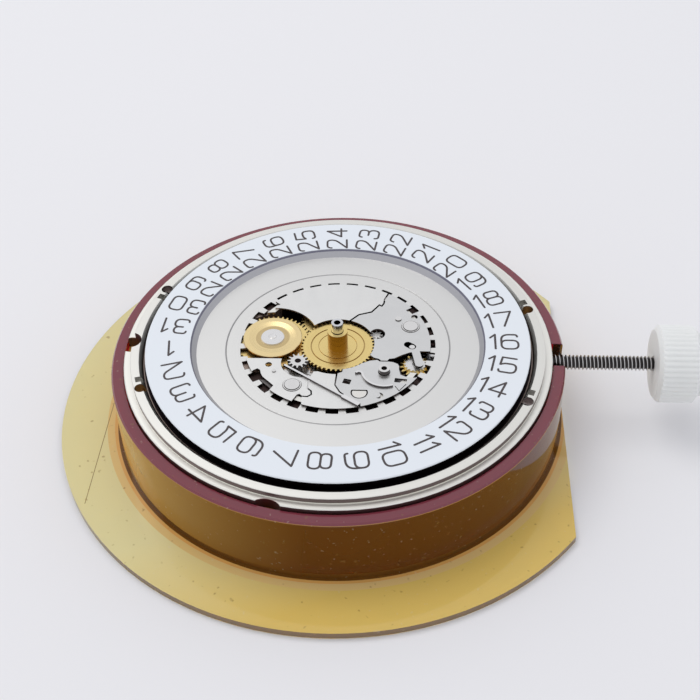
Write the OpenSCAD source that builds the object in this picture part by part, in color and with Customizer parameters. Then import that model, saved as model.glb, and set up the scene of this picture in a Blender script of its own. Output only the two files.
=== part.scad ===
// Self-winding watch movement with a date ring, dial side up, in its transport holder.
// Millimetres. The origin is on the holder's base under the axis of the hands.
// +X runs out along the winding stem and +Z points up, out of the dial side.

/* [Holder] */
// Radius of the flange
flange_r = 17.2; // [16:0.1:20]
// Distance from the axis to the flange's straight side
flange_flat = 13.8; // [13.7:0.1:15.5]
// Thickness of the flange and of the floor
floor_t = 0.45; // [0.3:0.05:0.8]
// Wall of the cup at its rim
cup_wall = 0.7; // [0.5:0.05:1]
// Height of the shoulder that carries the movement
seat_z = 4.55; // [4.3:0.05:6]
// Width of that shoulder
shoulder_w = 0.42; // [0.34:0.02:0.44]
// Rise of the rim above the shoulder
rim_rise = 0.4; // [0.2:0.05:0.6]
// Width of the slot that the stem lies in
stem_slot_w = 1.95; // [1.4:0.05:3]

/* [Main plate] */
// Radius of the main plate's rim
plate_r = 12.8; // [12.75:0.01:12.9]
// Width of the outer ledge
ledge_w = 0.43; // [0.3:0.01:0.5]
// Width of the dial seat
dial_seat_w = 0.74; // [0.66:0.02:0.78]
// Height of the dial seat above the outer ledge
dial_step = 0.37; // [0.2:0.01:0.5]
// Thickness of the rim
rim_t = 0.7; // [0.6:0.02:0.9]
// Depth of the dial-side pocket below the outer ledge
pocket_depth = 0.7; // [0.68:0.01:0.8]
// Thickness of the web that carries the arbors
web_t = 0.5; // [0.4:0.02:0.7]
// Radius of the holes for the dial's feet
foot_hole_r = 0.34; // [0.24:0.02:0.36]

/* [Back side] */
// Height of the cavity for the going train
cavity_h = 0.85; // [0.82:0.01:1]
// Thickness of the bridges
bridge_t = 0.35; // [0.3:0.01:0.45]
// Thickness of the winding weight
weight_t = 0.5; // [0.3:0.02:0.52]
// Radius of the rotor
rotor_r = 12; // [11.5:0.1:12.2]
// Thickness of the rotor's blade
blade_t = 0.17; // [0.12:0.01:0.2]

/* [Date ring] */
// Radius of the numeral ring
date_ring_r = 11.47; // [11.3:0.01:11.52]
// Radius at the roots of the ring's teeth
date_root_r = 5.85; // [5.8:0.01:5.95]
// Length of a ring tooth
date_tooth_h = 0.4; // [0.3:0.02:0.42]
// Width of a ring tooth
date_tooth_w = 0.46; // [0.3:0.02:0.56]
// Thickness of the ring's sheet
date_sheet_t = 0.14; // [0.1:0.01:0.15]
// Rise from the inner disc to the numeral ring
date_rise = 0.45; // [0.3:0.01:0.5]

/* [Wheels] */
// Thickness of a wheel
wheel_t = 0.14; // [0.1:0.01:0.14]
// Length of the hour pipe above its wheel
hour_pipe_h = 1.2; // [1:0.05:2]
// Radius of the hour pipe
hour_pipe_r = 0.6; // [0.58:0.01:0.64]
// Rise of the cannon pinion above the hour pipe
cannon_rise = 0.64; // [0.3:0.02:1]
// Radius of the cannon pinion's hand seat
cannon_r = 0.35; // [0.33:0.01:0.38]
// Radius of the date drum
drum_r = 1.77; // [1.6:0.01:1.8]
// Thickness of the date drum
drum_t = 0.12; // [0.08:0.01:0.16]

/* [Winding] */
// Radius of the stem
stem_r = 0.45; // [0.4:0.01:0.46]
// How far the stem stands out of the movement
stem_out = 6.1; // [3:0.1:10]
// How far the stem pulls out
stem_travel = 0.8; // [0.5:0.05:0.8]
// Radius of the handling crown
crown_r = 2.325; // [1.5:0.025:3]
// Length of the crown's drum
crown_len = 2.5; // [1.5:0.1:4]
// Height of the barrel
barrel_h = 0.52; // [0.45:0.01:0.54]

/* [Balance] */
// Outer radius of the balance rim
balance_r = 3.6; // [3.2:0.05:3.7]
// Height of the balance rim
balance_h = 0.22; // [0.16:0.01:0.24]

/* [Clearances] */
// Between the main plate and the cup
cup_gap = 0.08; // [0.05:0.01:0.12]
// Round a turning arbor or pipe
run_gap = 0.03; // [0.02:0.005:0.04]
// Above and below a wheel
level_gap = 0.075; // [0.06:0.005:0.085]
// Between neighbouring plates
seam_gap = 0.06; // [0.04:0.01:0.1]

/* [Hidden] */
$fn = 64;
AXIS = [0, 0];
// Positions across the plate were read at a radius of 12.8 and follow the plate
k = plate_r / 12.8;
function sized(points) = [for (p = points) k * p];

// Heights, worked up and down from the shoulder
ledge_z = seat_z + rim_t;
dial_z = ledge_z + dial_step;
pocket_z = ledge_z - pocket_depth;
web_z = pocket_z - web_t;
cavity_z = web_z - cavity_h;
bridge_z = cavity_z - bridge_t;
ring_z = ledge_z + 0.08;
ring_floor_z = ring_z - 0.05;
ring_top_z = ring_z + date_sheet_t;
plates_z = ring_z + 0.17;
plates_t = 0.1;
stem_z = seat_z - 0.2;
function level(n) = pocket_z + level_gap + n * (wheel_t + level_gap);
// Levels of the wheels on the back, down from the web
escape_z = web_z - 0.05 - wheel_t;
fourth_z = web_z - 0.4 - wheel_t;
second_z = cavity_z + 0.05;
barrel_z = web_z - 0.07 - barrel_h;
winding_z = bridge_z - 0.23;
reduction_z = winding_z - 0.18;
reverser_z = reduction_z - 0.16;
rotor_z = reverser_z - 0.23;
back_t = 0.12;

// Radii of the plate's steps
cup_in_r = plate_r + cup_gap;
cup_r = cup_in_r + cup_wall;
body_r = cup_in_r - shoulder_w - 0.1;
seat_out_r = plate_r - ledge_w;
seat_in_r = seat_out_r - dial_seat_w;
wall_in_r = body_r - 1.16;
land_r = date_ring_r - 0.1;
date_tip_r = date_root_r - date_tooth_h;
island_r = date_tip_r - 0.15;
plates_r = date_tip_r + 0.1;
bridge_r = body_r - 0.4;

// Points and meshing
function polar(r, a) = [r * cos(a), r * sin(a)];
function azimuth(p) = atan2(p[1], p[0]);
// Point at rp from p and rq from q; side picks which of the two
function meet(p, rp, q, rq, side) =
  let (d = norm(q - p), u = (q - p) / d, a = (rp * rp - rq * rq + d * d) / (2 * d))
  p + a * u + side * sqrt(rp * rp - a * a) * [-u[1], u[0]];
// Angle of a tooth of the second gear, so that it meshes with the first
function mesh(p, n, phase, q, m) =
  let (f = azimuth(q - p)) f + 180 - (360 / m) * (0.5 - (f - phase) * n / 360);
function pitch_r(n, m) = n * m / 2;

// Going train: tooth counts and modules
driving_n = 54;
third_leaves = 8;
third_n = 80;
fourth_leaves = 9;
fourth_n = 72;
escape_leaves = 6;
escape_n = 20;
second_n = 48;
second_leaves = 12;
barrel_n = 72;
driving_m = 0.08313 * k;
third_d = pitch_r(driving_n + third_leaves, driving_m);
THIRD = polar(third_d, 27.8);
fourth_m = 2 * third_d / (third_n + fourth_leaves);
escape_m = 0.06 * k;
second_m = 0.1 * k;
barrel_m = 0.1 * k;
BARREL = polar(6.9 * k, -34.5);
SECOND = meet(THIRD, pitch_r(second_n + third_leaves, second_m),
              BARREL, pitch_r(barrel_n + second_leaves, barrel_m), 1);
ESCAPE = polar(pitch_r(fourth_n + escape_leaves, escape_m), 215);
BALANCE = polar(7.2 * k, 225);
escape_r = 1.8 * k;
PALLET = ESCAPE + 2.08 * k * (BALANCE - ESCAPE) / norm(BALANCE - ESCAPE);
third_phase = mesh(AXIS, fourth_leaves, 0, THIRD, third_n);
driving_phase = mesh(THIRD, third_leaves, 0, AXIS, driving_n);
second_phase = mesh(THIRD, third_leaves, 0, SECOND, second_n);
barrel_phase = mesh(SECOND, second_leaves, 0, BARREL, barrel_n);
escape_phase = mesh(AXIS, fourth_n, 0, ESCAPE, escape_leaves);

// Motion work and setting train
cannon_leaves = 12;
minute_n = 36;
minute_leaves = 12;
hour_n = 48;
hour_leaves = 24;
idler_n = 32;
date_n = 48;
relay_a_n = 19;
relay_b_n = 22;
corrector_n = 15;
setting_n = 10;
motion_m = 0.11374 * k;
minute_d = pitch_r(cannon_leaves + minute_n, motion_m);
MINUTE = polar(minute_d, 212.6);
hour_m = 2 * minute_d / (hour_n + minute_leaves);
date_m = 0.09375 * k;
DATE = polar(3.98 * k, 173.1);
IDLER = meet(AXIS, pitch_r(hour_leaves + idler_n, date_m),
             DATE, pitch_r(idler_n + date_n, date_m), -1);
POST = polar(3.73 * k, -40.65);
RELAY = meet(MINUTE, pitch_r(minute_n + relay_a_n, motion_m),
             POST, pitch_r(relay_a_n + relay_b_n, motion_m), -1);
CORRECTOR = POST + polar(pitch_r(relay_b_n + corrector_n, motion_m), 30.3);
SETTING = CORRECTOR + polar(pitch_r(corrector_n + setting_n, motion_m), 42);
minute_phase = mesh(AXIS, cannon_leaves, 0, MINUTE, minute_n);
hour_phase = mesh(MINUTE, minute_leaves, 0, AXIS, hour_n);
idler_phase = mesh(AXIS, hour_leaves, 0, IDLER, idler_n);
date_phase = mesh(IDLER, idler_n, idler_phase, DATE, date_n);
relay_a_phase = mesh(MINUTE, minute_n, minute_phase, RELAY, relay_a_n);
relay_b_phase = mesh(RELAY, relay_a_n, relay_a_phase, POST, relay_b_n);
corrector_phase = mesh(POST, relay_b_n, relay_b_phase, CORRECTOR, corrector_n);
setting_phase = mesh(CORRECTOR, corrector_n, corrector_phase, SETTING, setting_n);

// Winding train
winding_n = 16;
crown_n = 24;
winding_m = 0.105 * k;
transfer_n = 35;
ratchet_n = 62;
reduction_leaves = 12;
reduction_n = 38;
reverser_leaves = 10;
reverser_n = 24;
rotor_n = 30;
auto_m = 0.1 * k;
winding_x = 8.1 * k;
CROWN = [winding_x + pitch_r(crown_n, winding_m), 0];
wind_m = 2 * norm(BARREL - CROWN) / (transfer_n + ratchet_n);
REDUCTION = meet(AXIS, 4.2 * k, BARREL, pitch_r(ratchet_n + reduction_leaves, wind_m), 1);
REVERSER_A = meet(AXIS, pitch_r(rotor_n + reverser_n, auto_m),
                  REDUCTION, pitch_r(reduction_n + reverser_leaves, auto_m), 1);
REVERSER_B = meet(AXIS, pitch_r(rotor_n + reverser_n, auto_m),
                  REDUCTION, pitch_r(reduction_n + reverser_leaves, auto_m), -1);
ratchet_phase = mesh(CROWN, transfer_n, 0, BARREL, ratchet_n);
reduction_phase = mesh(BARREL, ratchet_n, ratchet_phase, REDUCTION, reduction_leaves);
reverser_up_a = mesh(AXIS, rotor_n, 0, REVERSER_A, reverser_n);
reverser_up_b = mesh(AXIS, rotor_n, 0, REVERSER_B, reverser_n);
reverser_low_a = mesh(REDUCTION, reduction_n, 0, REVERSER_A, reverser_leaves);
reverser_low_b = mesh(REDUCTION, reduction_n, 0, REVERSER_B, reverser_leaves);

// Colours
nickel = [0.84, 0.84, 0.82];
gold = [0.88, 0.77, 0.48];
steel = [0.68, 0.69, 0.71];
amber = [0.75, 0.58, 0.25];
ruby = [0.75, 0.1, 0.25];

// Shared shapes
module at(p, z) { translate([p[0], p[1], z]) children(); }
module disc(p, z, r, h) { at(p, z) cylinder(r = r, h = h); }
// Slim teeth: narrow at the tip, wider at the root
function tooth_points(a, pitch, tip, mid, root) = [
  polar(root, a - 0.24 * pitch), polar(mid, a - 0.17 * pitch), polar(tip, a - 0.07 * pitch),
  polar(tip, a + 0.07 * pitch), polar(mid, a + 0.17 * pitch), polar(root, a + 0.24 * pitch)];
module gear(p, z, n, m, h, phase, add = 0.75, ded = 1.15) {
  r = pitch_r(n, m);
  at(p, z) linear_extrude(h) polygon([
    for (i = [0 : n - 1])
      each tooth_points(phase + i * 360 / n, 360 / n, r + add * m, r, r - ded * m)]);
}
// Spoke openings of a wheel
module spokes(p, z, h, r_in, r_out, count) {
  for (i = [0 : count - 1]) at(p, z - 0.1) rotate(i * 360 / count) intersection() {
    difference() {
      cylinder(r = r_out, h = h + 0.2);
      translate([0, 0, -0.1]) cylinder(r = r_in, h = h + 0.4);
    }
    linear_extrude(h + 0.2) polygon([
      polar(r_in * 0.6, 90 / count), polar(r_out * 1.5, 75 / count),
      polar(r_out * 1.5, 285 / count), polar(r_in * 0.6, 270 / count)]);
  }
}
// Arbor with a fine pivot at each end
pivot_r = 0.08;
module arbor(p, z_low, z_high, r) {
  disc(p, z_low, r, z_high - z_low);
  disc(p, z_low - 0.12, pivot_r, z_high - z_low + 0.24);
}
module jewel(p, z) {
  difference() {
    disc(p, z, 0.3, 0.16);
    disc(p, z - 0.1, pivot_r + run_gap, 0.4);
  }
}
module jewel_seat(p, z) { disc(p, z, 0.3, 0.16); }
module slot_head(p, z, r, h, turn) {
  difference() {
    disc(p, z, r, h);
    at(p, z - 0.05) rotate(turn) translate([-r * 1.2, -0.06, 0]) cube([r * 2.4, 0.12, 0.05 + h * 0.4]);
  }
}

// Holder and crown

rim_z = seat_z + rim_rise;
module transport_holder() color(amber) difference() {
  union() {
    intersection() {
      cylinder(r = flange_r, h = floor_t, $fn = 128);
      translate([-flange_r, -flange_r, 0]) cube([flange_r + flange_flat, 2 * flange_r, floor_t]);
    }
    rotate_extrude($fn = 128) polygon([
      [0, 0], [cup_r, 0], [cup_r, rim_z - 0.12], [cup_r - 0.1, rim_z], [cup_in_r, rim_z],
      [cup_in_r, seat_z], [cup_in_r - shoulder_w, seat_z], [cup_in_r - shoulder_w, floor_t],
      [0, floor_t]]);
  }
  translate([wall_in_r, -stem_slot_w / 2, stem_z]) cube([flange_r, stem_slot_w, rim_z]);
  translate([wall_in_r, 0, stem_z]) rotate([0, 90, 0]) cylinder(d = stem_slot_w, h = flange_r);
}

crown_x = plate_r + stem_out;
boss_r = 1.9;
boss_len = 1.1;
flutes = 44;
module setting_crown() color([0.86, 0.87, 0.88]) difference() {
  translate([crown_x, 0, stem_z]) rotate([0, 90, 0]) union() {
    intersection() {
      rotate_extrude() polygon([
        [0, 0], [crown_r - 0.3, 0], [crown_r, 0.25], [crown_r, crown_len - 0.25],
        [crown_r - 0.3, crown_len], [0, crown_len]]);
      linear_extrude(crown_len) polygon([
        for (i = [0 : 2 * flutes - 1]) polar(crown_r + (i % 2 == 0 ? 0.02 : -0.06), i * 180 / flutes)]);
    }
    rotate_extrude() polygon([
      [0, crown_len - 0.1], [boss_r, crown_len - 0.1], [boss_r, crown_len + boss_len - 0.15],
      [boss_r - 0.15, crown_len + boss_len], [0, crown_len + boss_len]]);
  }
  translate([crown_x - 0.1, 0, stem_z]) rotate([0, 90, 0]) cylinder(r = stem_r + 0.01, h = 1.7);
}

// Keyless work: stem, pinions, lever and yoke

square_w = 0.56;
square_x0 = 5.9;
pinion_x0 = winding_x - 0.35;
pinion_x1 = winding_x + 0.35;
round_r = 0.42;
groove_x0 = 9.2;
groove_w = 0.45;
groove_r = 0.25;
bush_x = groove_x0 + groove_w;
module winding_stem() color([0.45, 0.46, 0.48]) translate([0, 0, stem_z]) {
  translate([square_x0, -square_w / 2, -square_w / 2]) cube([pinion_x0 - square_x0, square_w, square_w]);
  rotate([0, 90, 0]) rotate_extrude() polygon([
    [0, pinion_x0 - 0.05], [round_r, pinion_x0 - 0.05], [round_r, groove_x0],
    [groove_r, groove_x0], [groove_r, bush_x], [stem_r, bush_x], [stem_r, crown_x + 1.5], [0, crown_x + 1.5]]);
}
winding_add = 0.057;
module winding_pinion() color(steel) difference() {
  translate([pinion_x0, 0, stem_z]) rotate([0, 90, 0]) linear_extrude(pinion_x1 - pinion_x0)
    polygon([for (i = [0 : winding_n - 1])
      each tooth_points((i + 0.5) * 360 / winding_n, 360 / winding_n,
        pitch_r(winding_n, winding_m) + winding_add, pitch_r(winding_n, winding_m),
        pitch_r(winding_n, winding_m) - 0.14)]);
  translate([pinion_x0 - 1, 0, stem_z]) rotate([0, 90, 0]) cylinder(r = round_r + run_gap, h = 3);
}
slide_len = 0.73;
slide_x0 = pinion_x0 - 0.07 - slide_len;
slide_r = 0.7;
neck_r = 0.47;
flange_w = 0.2;
face_teeth = 8;
module sliding_pinion() color(steel) difference() {
  translate([0, 0, stem_z]) rotate([0, 90, 0]) union() {
    rotate_extrude() polygon([
      [0, slide_x0], [slide_r, slide_x0], [slide_r, slide_x0 + flange_w], [neck_r, slide_x0 + flange_w],
      [neck_r, slide_x0 + slide_len - flange_w], [slide_r, slide_x0 + slide_len - flange_w],
      [slide_r, slide_x0 + slide_len], [0, slide_x0 + slide_len]]);
    for (i = [0 : face_teeth - 1]) rotate(i * 360 / face_teeth)
      translate([0.5, -0.06, slide_x0 - 0.1]) cube([0.25, 0.12, 0.15]);
  }
  translate([slide_x0 - 1, -square_w / 2 - 0.02, stem_z - square_w / 2 - 0.02])
    cube([3, square_w + 0.04, square_w + 0.04]);
}

lever_z = pocket_z + 0.38;
lever_t = 0.15;
lever_floor_z = lever_z - 0.03;
pin_x = groove_x0 + groove_w / 2;
lever_arm = 2.4;
LEVER = [pin_x + stem_travel / 2, sqrt(lever_arm * lever_arm - stem_travel * stem_travel / 4)];
stud_r = 0.2;
module setting_lever() color(steel) difference() {
  union() {
    at(LEVER, lever_z) linear_extrude(lever_t) union() {
      circle(r = 0.45);
      polygon([[-0.42, 0.15], [-0.75, -LEVER[1] + 0.1], [-stem_travel / 2 + 0.25, -LEVER[1] - 0.2], [0.42, 0.1]]);
      polygon([[-0.3, 0.33], [-1.1, 0.95], [-1.35, 0.6], [-0.4, -0.3]]);
    }
    at([pin_x, 0], lever_z - 0.3) cylinder(r = 0.12, h = 0.35);
  }
  disc(LEVER, lever_z - 1, stud_r + run_gap, 2);
}

finger_x = slide_x0 + slide_len / 2;
YOKE = [finger_x - 0.4, -3.3];
finger_y = -0.56;
module yoke() color(steel) difference() {
  union() {
    translate([0, 0, lever_z]) linear_extrude(lever_t) union() {
      translate(YOKE) circle(r = 0.5);
      polygon([YOKE + [-0.3, 0.2], [finger_x - 0.14, -1.0], [finger_x - 0.1, finger_y],
               [finger_x + 0.1, finger_y], [finger_x + 0.2, -1.0], YOKE + [0.4, 0.1]]);
    }
    translate([finger_x - 0.1, finger_y - 0.24, stem_z - 0.05])
      cube([0.2, 0.24, lever_z - stem_z + 0.1]);
  }
  disc(YOKE, lever_z - 1, stud_r + run_gap, 2);
}

// Setting train: a small wheel by the stem, the corrector, the wheel round the post, a relay wheel

module setting_wheel() color(steel) difference() {
  gear(SETTING, level(1), setting_n, motion_m, wheel_t, setting_phase);
  disc(SETTING, pocket_z, 0.15 + run_gap, 2);
}
silver_z = level(2) + 0.09;
module corrector_wheel() {
  difference() {
    union() {
      color(gold) gear(CORRECTOR, level(1), corrector_n, motion_m, silver_z - level(1), corrector_phase);
      color(steel) gear(CORRECTOR, silver_z, 16, 0.083, 0.13, 0);
    }
    disc(CORRECTOR, pocket_z, 0.15 + run_gap, 2);
  }
}
module intermediate_wheel() color(gold) difference() {
  gear(POST, level(1), relay_b_n, motion_m, wheel_t, relay_b_phase);
  disc(POST, pocket_z, post_r + run_gap, 2);
}
module relay_wheel() color(gold) difference() {
  gear(RELAY, level(1), relay_a_n, motion_m, wheel_t, relay_a_phase);
  disc(RELAY, pocket_z, stud_r + run_gap, 2);
}

// Main plate

post_r = 0.33;
// Dial feet and their clamp screws, as azimuths on the dial seat
foot_angles = [16.2, 200.2];
clamp_angles = [-23.2, 156.2];
// Square holes beside them
square_angles = [19.5, 196.6, -19.5, 159.9];
clamp_r = 0.345;
foot_at_r = (seat_in_r + seat_out_r) / 2;
// Slope inside the dial seat
slope_w = 0.24;
slope_h = 0.27;
module main_plate() color(nickel) difference() {
  union() {
    rotate_extrude($fn = 128) polygon([
      [0, web_z], [wall_in_r, web_z], [wall_in_r, cavity_z], [body_r, cavity_z], [body_r, seat_z],
      [plate_r, seat_z], [plate_r, ledge_z - 0.05], [plate_r - 0.05, ledge_z], [seat_out_r, ledge_z],
      [seat_out_r, dial_z - 0.03], [seat_out_r - 0.03, dial_z], [seat_in_r + slope_w, dial_z],
      [seat_in_r, dial_z - slope_h],
      [seat_in_r, ring_floor_z], [land_r, ring_floor_z], [land_r, ring_top_z + date_rise - 0.2],
      [land_r - 0.45, ring_top_z + date_rise - 0.2], [land_r - 0.45, ring_floor_z],
      [island_r, ring_floor_z], [island_r, plates_z], [island_r - 0.35, plates_z],
      [island_r - 0.35, pocket_z], [0, pocket_z]]);
    // Studs for the wheels of the dial side
    disc(MINUTE, pocket_z - 0.1, 0.16, level(3) + wheel_t - pocket_z);
    disc(RELAY, pocket_z - 0.1, stud_r, level(2) - pocket_z);
    disc(IDLER, pocket_z - 0.1, stud_r, level(3) - 0.02 - pocket_z + 0.1);
    disc(DATE, pocket_z - 0.1, stud_r, level(3) + 0.1 - pocket_z);
    // Centre tube that carries the cannon pinion
    disc(AXIS, pocket_z - 0.1, centre_tube_r, level(4) - pocket_z);
  }
  // Recess for the date wheel, the corrector and the setting wheel
  disc(DATE, level(2) - 0.06, pitch_r(date_n, date_m) + 0.17, 2);
  disc(DATE, pocket_z - 0.01, stud_r + 0.4, 2);
  disc(CORRECTOR, pocket_z, pitch_r(corrector_n, motion_m) + 0.16, 2);
  disc(SETTING, pocket_z, pitch_r(setting_n, motion_m) + 0.15, 2);
  disc(IDLER, pocket_z, pitch_r(idler_n, date_m) + 0.14, 2);
  disc(POST, pocket_z, pitch_r(relay_b_n, motion_m) + 0.17, level(2) - pocket_z);
  // Gap for the date jumper
  translate([0, 0, ring_floor_z]) linear_extrude(1)
    polygon(sized([polar(4.6, 203), polar(5.6, 206), polar(5.6, 222), polar(5.6, 234), polar(4.6, 237)]));
  keyless_pocket();
  // Bore for the stem
  translate([6.5, 0, stem_z]) rotate([0, 90, 0]) cylinder(r = stem_r + run_gap, h = 8);
  // Centre hole
  disc(AXIS, web_z - 1, centre_tube_r - 0.1, 4);
  // Arbor holes through the web and seats for the jewels
  disc(THIRD, web_z - 1, 0.45, 3);
  for (p = [SECOND, ESCAPE, PALLET, BALANCE]) {
    jewel_seat(p, web_z);
    disc(p, web_z - 0.1, 0.15, 0.4);
  }
  disc(BARREL, web_z - 0.1, 0.45 + run_gap, 0.35);
  // Dial-foot holes, clamp screw holes and half-round notches
  for (a = foot_angles) disc(polar(foot_at_r, a), seat_z - 0.1, foot_hole_r, 2);
  for (a = square_angles) {
    rotate(a) translate([foot_at_r - 0.26, -0.22, dial_z - 0.5]) cube([0.44, 0.44, 1]);
  }
  for (a = clamp_angles) disc(polar(foot_at_r, a), dial_z - 0.75, clamp_r + 0.01, 2);
  disc(polar(plate_r - 0.3, 180), seat_z - 1, 0.65, 3);
  disc(polar(plate_r + 0.75, 255.6), seat_z - 1, 1.05, 3);
  for (p = screw_points) disc(p, cavity_z - 0.1, screw_r + 0.02, 0.85);
}
centre_tube_r = 0.24;
screw_r = 0.25;
screw_at_r = (wall_in_r + body_r) / 2;
screw_angles = [-72, -20, 58, 122, 165, 196, 252];
screw_points = [for (a = screw_angles) polar(screw_at_r, a)];
// Channel for the pinions and pocket for the lever and yoke, under the date ring
module keyless_pocket() {
  translate([6.35, -0.98, cavity_z - 1]) cube([pinion_x1 + 0.12 - 6.35, 1.96, 4]);
  translate([5.35, -0.42, web_z - 0.1]) cube([1.2, 0.84, stem_z + square_w / 2 + 0.1 - web_z + 0.1]);
  translate([pin_x - 0.22, -0.2, stem_z]) cube([stem_travel + 0.44, 0.4, 2]);
  intersection() {
    cylinder(r = land_r - 0.75, h = 20);
    translate([0, 0, lever_floor_z]) linear_extrude(2) union() {
      translate(YOKE) circle(r = 0.7);
      polygon([YOKE + [-1.0, 0.1], [6.35, -0.9], [10.6, -0.9], [9.0, -1.2], YOKE + [0.7, 0]]);
      translate(LEVER) circle(r = 0.75);
      polygon([[8.2, -0.5], [8.0, LEVER[1] + 1.3], LEVER + [0.4, 0.6], [10.7, -0.5]]);
    }
  }
}
// Studs in the pocket for the lever, the yoke and the two small wheels
module plate_studs() color(steel) {
  // Post of the setting train, with a hole in its top
  difference() {
    disc(POST, pocket_z, post_r, plates_z + 0.39 - pocket_z);
    disc(POST, plates_z, 0.17, 1);
  }
  for (p = [LEVER, YOKE]) disc(p, lever_floor_z, stud_r, lever_t + 0.08);
  disc(SETTING, pocket_z, 0.15, level(2) - pocket_z);
  disc(CORRECTOR, pocket_z, 0.15, silver_z + 0.14 - pocket_z);
  for (a = clamp_angles) slot_head_up(polar(foot_at_r, a), dial_z - 0.75, clamp_r, 0.42, a);
  // Two small round heads
  disc(k * [3.6, 2.3], plates_z + plates_t, 0.2, 0.06);
  disc(k * [-3.63, -2.5], plates_z + plates_t, 0.12, 0.05);
  // Flat heads on the date plates, with a step round the edge
  for (p = [HEAD_A, HEAD_B]) {
    disc(p, plates_z + plates_t, 0.54, 0.03);
    disc(p, plates_z + plates_t, 0.46, 0.06);
  }
  // Pillar behind the half-round window and pin in the slot
  intersection() {
    disc(HEAD_C, pocket_z, 0.42, plates_z + plates_t - 0.02 - pocket_z);
    translate([HEAD_C[0] - 1, HEAD_C[1] - 1, 0]) cube([2, 1.15, 10]);
  }
  disc(SLOT, pocket_z, 0.17, plates_z + plates_t - 0.02 - pocket_z);
}
module slot_head_up(p, z, r, h, turn) {
  difference() {
    disc(p, z, r, h);
    at(p, z + h * 0.6) rotate(turn) translate([-r * 1.2, -0.06, 0]) cube([r * 2.4, 0.12, h]);
  }
}

// Date plates that hold the ring down

hour_opening_r = 2.2 * k;
front_opening_r = 2.7 * k;
drum_opening_r = 2.72 * k;
module plate_blank() {
  translate([0, 0, plates_z]) linear_extrude(plates_t) children();
}
module round_edge() { circle(r = plates_r, $fn = 128); }
module notch(a) { rotate(a) translate([plates_r - 0.42, -0.26]) square([1.2, 0.52]); }
module dot(x, y, r) { translate([x * k, y * k]) circle(r = r); }
module upper_date_plate() color(nickel) plate_blank() difference() {
  intersection() {
    round_edge();
    polygon(sized([[-4.06, 2.5], [-4.06, 7], [2.95, 7], [2.9, 4.72], [2.68, 4.17], [2.64, 3.78],
                   [2.54, 3.58], [2.4, 3.68], [1.92, 2.98], [1.14, 2.7], [0.6, 2.1], [0, 0], [-1.6, 1.2]]));
  }
  translate(DATE) circle(r = drum_opening_r);
  circle(r = hour_opening_r);
  notch(139.4);
}
// Slot of the right plate, with a pin standing in it, and the plate's three round marks
SLOT = k * [4.45, -0.2];
HEAD_A = k * [4.35, 1.62];
HEAD_B = k * [-2.48, -3.65];
HEAD_C = k * [1.43, -4.2];
module right_date_plate() color(nickel) plate_blank() difference() {
  union() {
    corrector_tongue();
    intersection() {
      round_edge();
      polygon(sized([[0.7, 2.04], [1.2, 2.6], [1.98, 2.87], [2.42, 3.53], [2.58, 3.42], [2.74, 3.75],
                     [2.78, 4.14], [3, 4.7], [3.05, 7], [7, 7], [7, -0.62], [4.9, -0.6], [4.3, -0.72],
                     [3.85, -0.95], [3.4, -1.25], [3.1, -1.3], [3, -1.47], [2.62, -1.47], [2.5, -1.32],
                     [2.2, -1.22], [1, 0]]));
    }
  }
  circle(r = hour_opening_r);
  dot(2.36, 0.9, 0.46);
  notch(34.9);
  dot(4.58, 2.5, 0.2);
  translate(SLOT) circle(r = 0.24);
  translate(SLOT + [-0.25, 0.18]) circle(r = 0.24);
  translate(SLOT + [-0.125, 0.09]) rotate(-35.8) square([0.31, 0.48], center = true);
}
// The plate's tongue, which holds the corrector down
module corrector_tongue() {
  from = k * [4.62, -0.4];
  to = k * [4.88, -1.7];
  translate(from) circle(r = 0.24);
  translate(to) circle(r = 0.24);
  translate((from + to) / 2) rotate(azimuth(to - from)) square([norm(to - from), 0.48], center = true);
}
module left_date_plate() color(nickel) plate_blank() difference() {
  intersection() {
    round_edge();
    polygon(sized([[-6, -1.42], [-3.35, -1.42], [-2, -1.5], [-1.4, -2.5], [-1.57, -3.2], [-1.6, -3.97],
                   [-1.4, -4.15], [-1.36, -4.4], [-1.55, -4.56], [-1.85, -4.54], [-2, -4.38],
                   [-2.15, -4.46], [-2.5, -5.15], [-2.6, -6], [-4.4, -6], [-3.55, -4.62], [-3.8, -4.35],
                   [-3.75, -4.08], [-3.56, -3.72], [-4.25, -3], [-4.38, -2.72], [-4.45, -2.42],
                   [-4.62, -2.3], [-4.85, -2.45], [-4.95, -2.62], [-5.25, -2.5], [-5.48, -2.15], [-6, -2.1]]));
  }
  dot(-1.98, -1.72, 1.3);
  circle(r = front_opening_r);
  dot(-3.99, -1.95, 0.2);
}
module lower_date_plate() color(nickel) plate_blank() difference() {
  intersection() {
    round_edge();
    polygon(sized([[-1.31, -2.5], [-1.48, -3.2], [-1.51, -3.92], [-1.3, -4.12], [-1.27, -4.45],
                   [-1.52, -4.66], [-1.87, -4.63], [-1.8, -6], [1.45, -6], [1.45, -5.25], [0.82, -4.73],
                   [0.26, -4.2], [-0.04, -3.62], [0.03, -2.4]]));
  }
  circle(r = front_opening_r);
}
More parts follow.
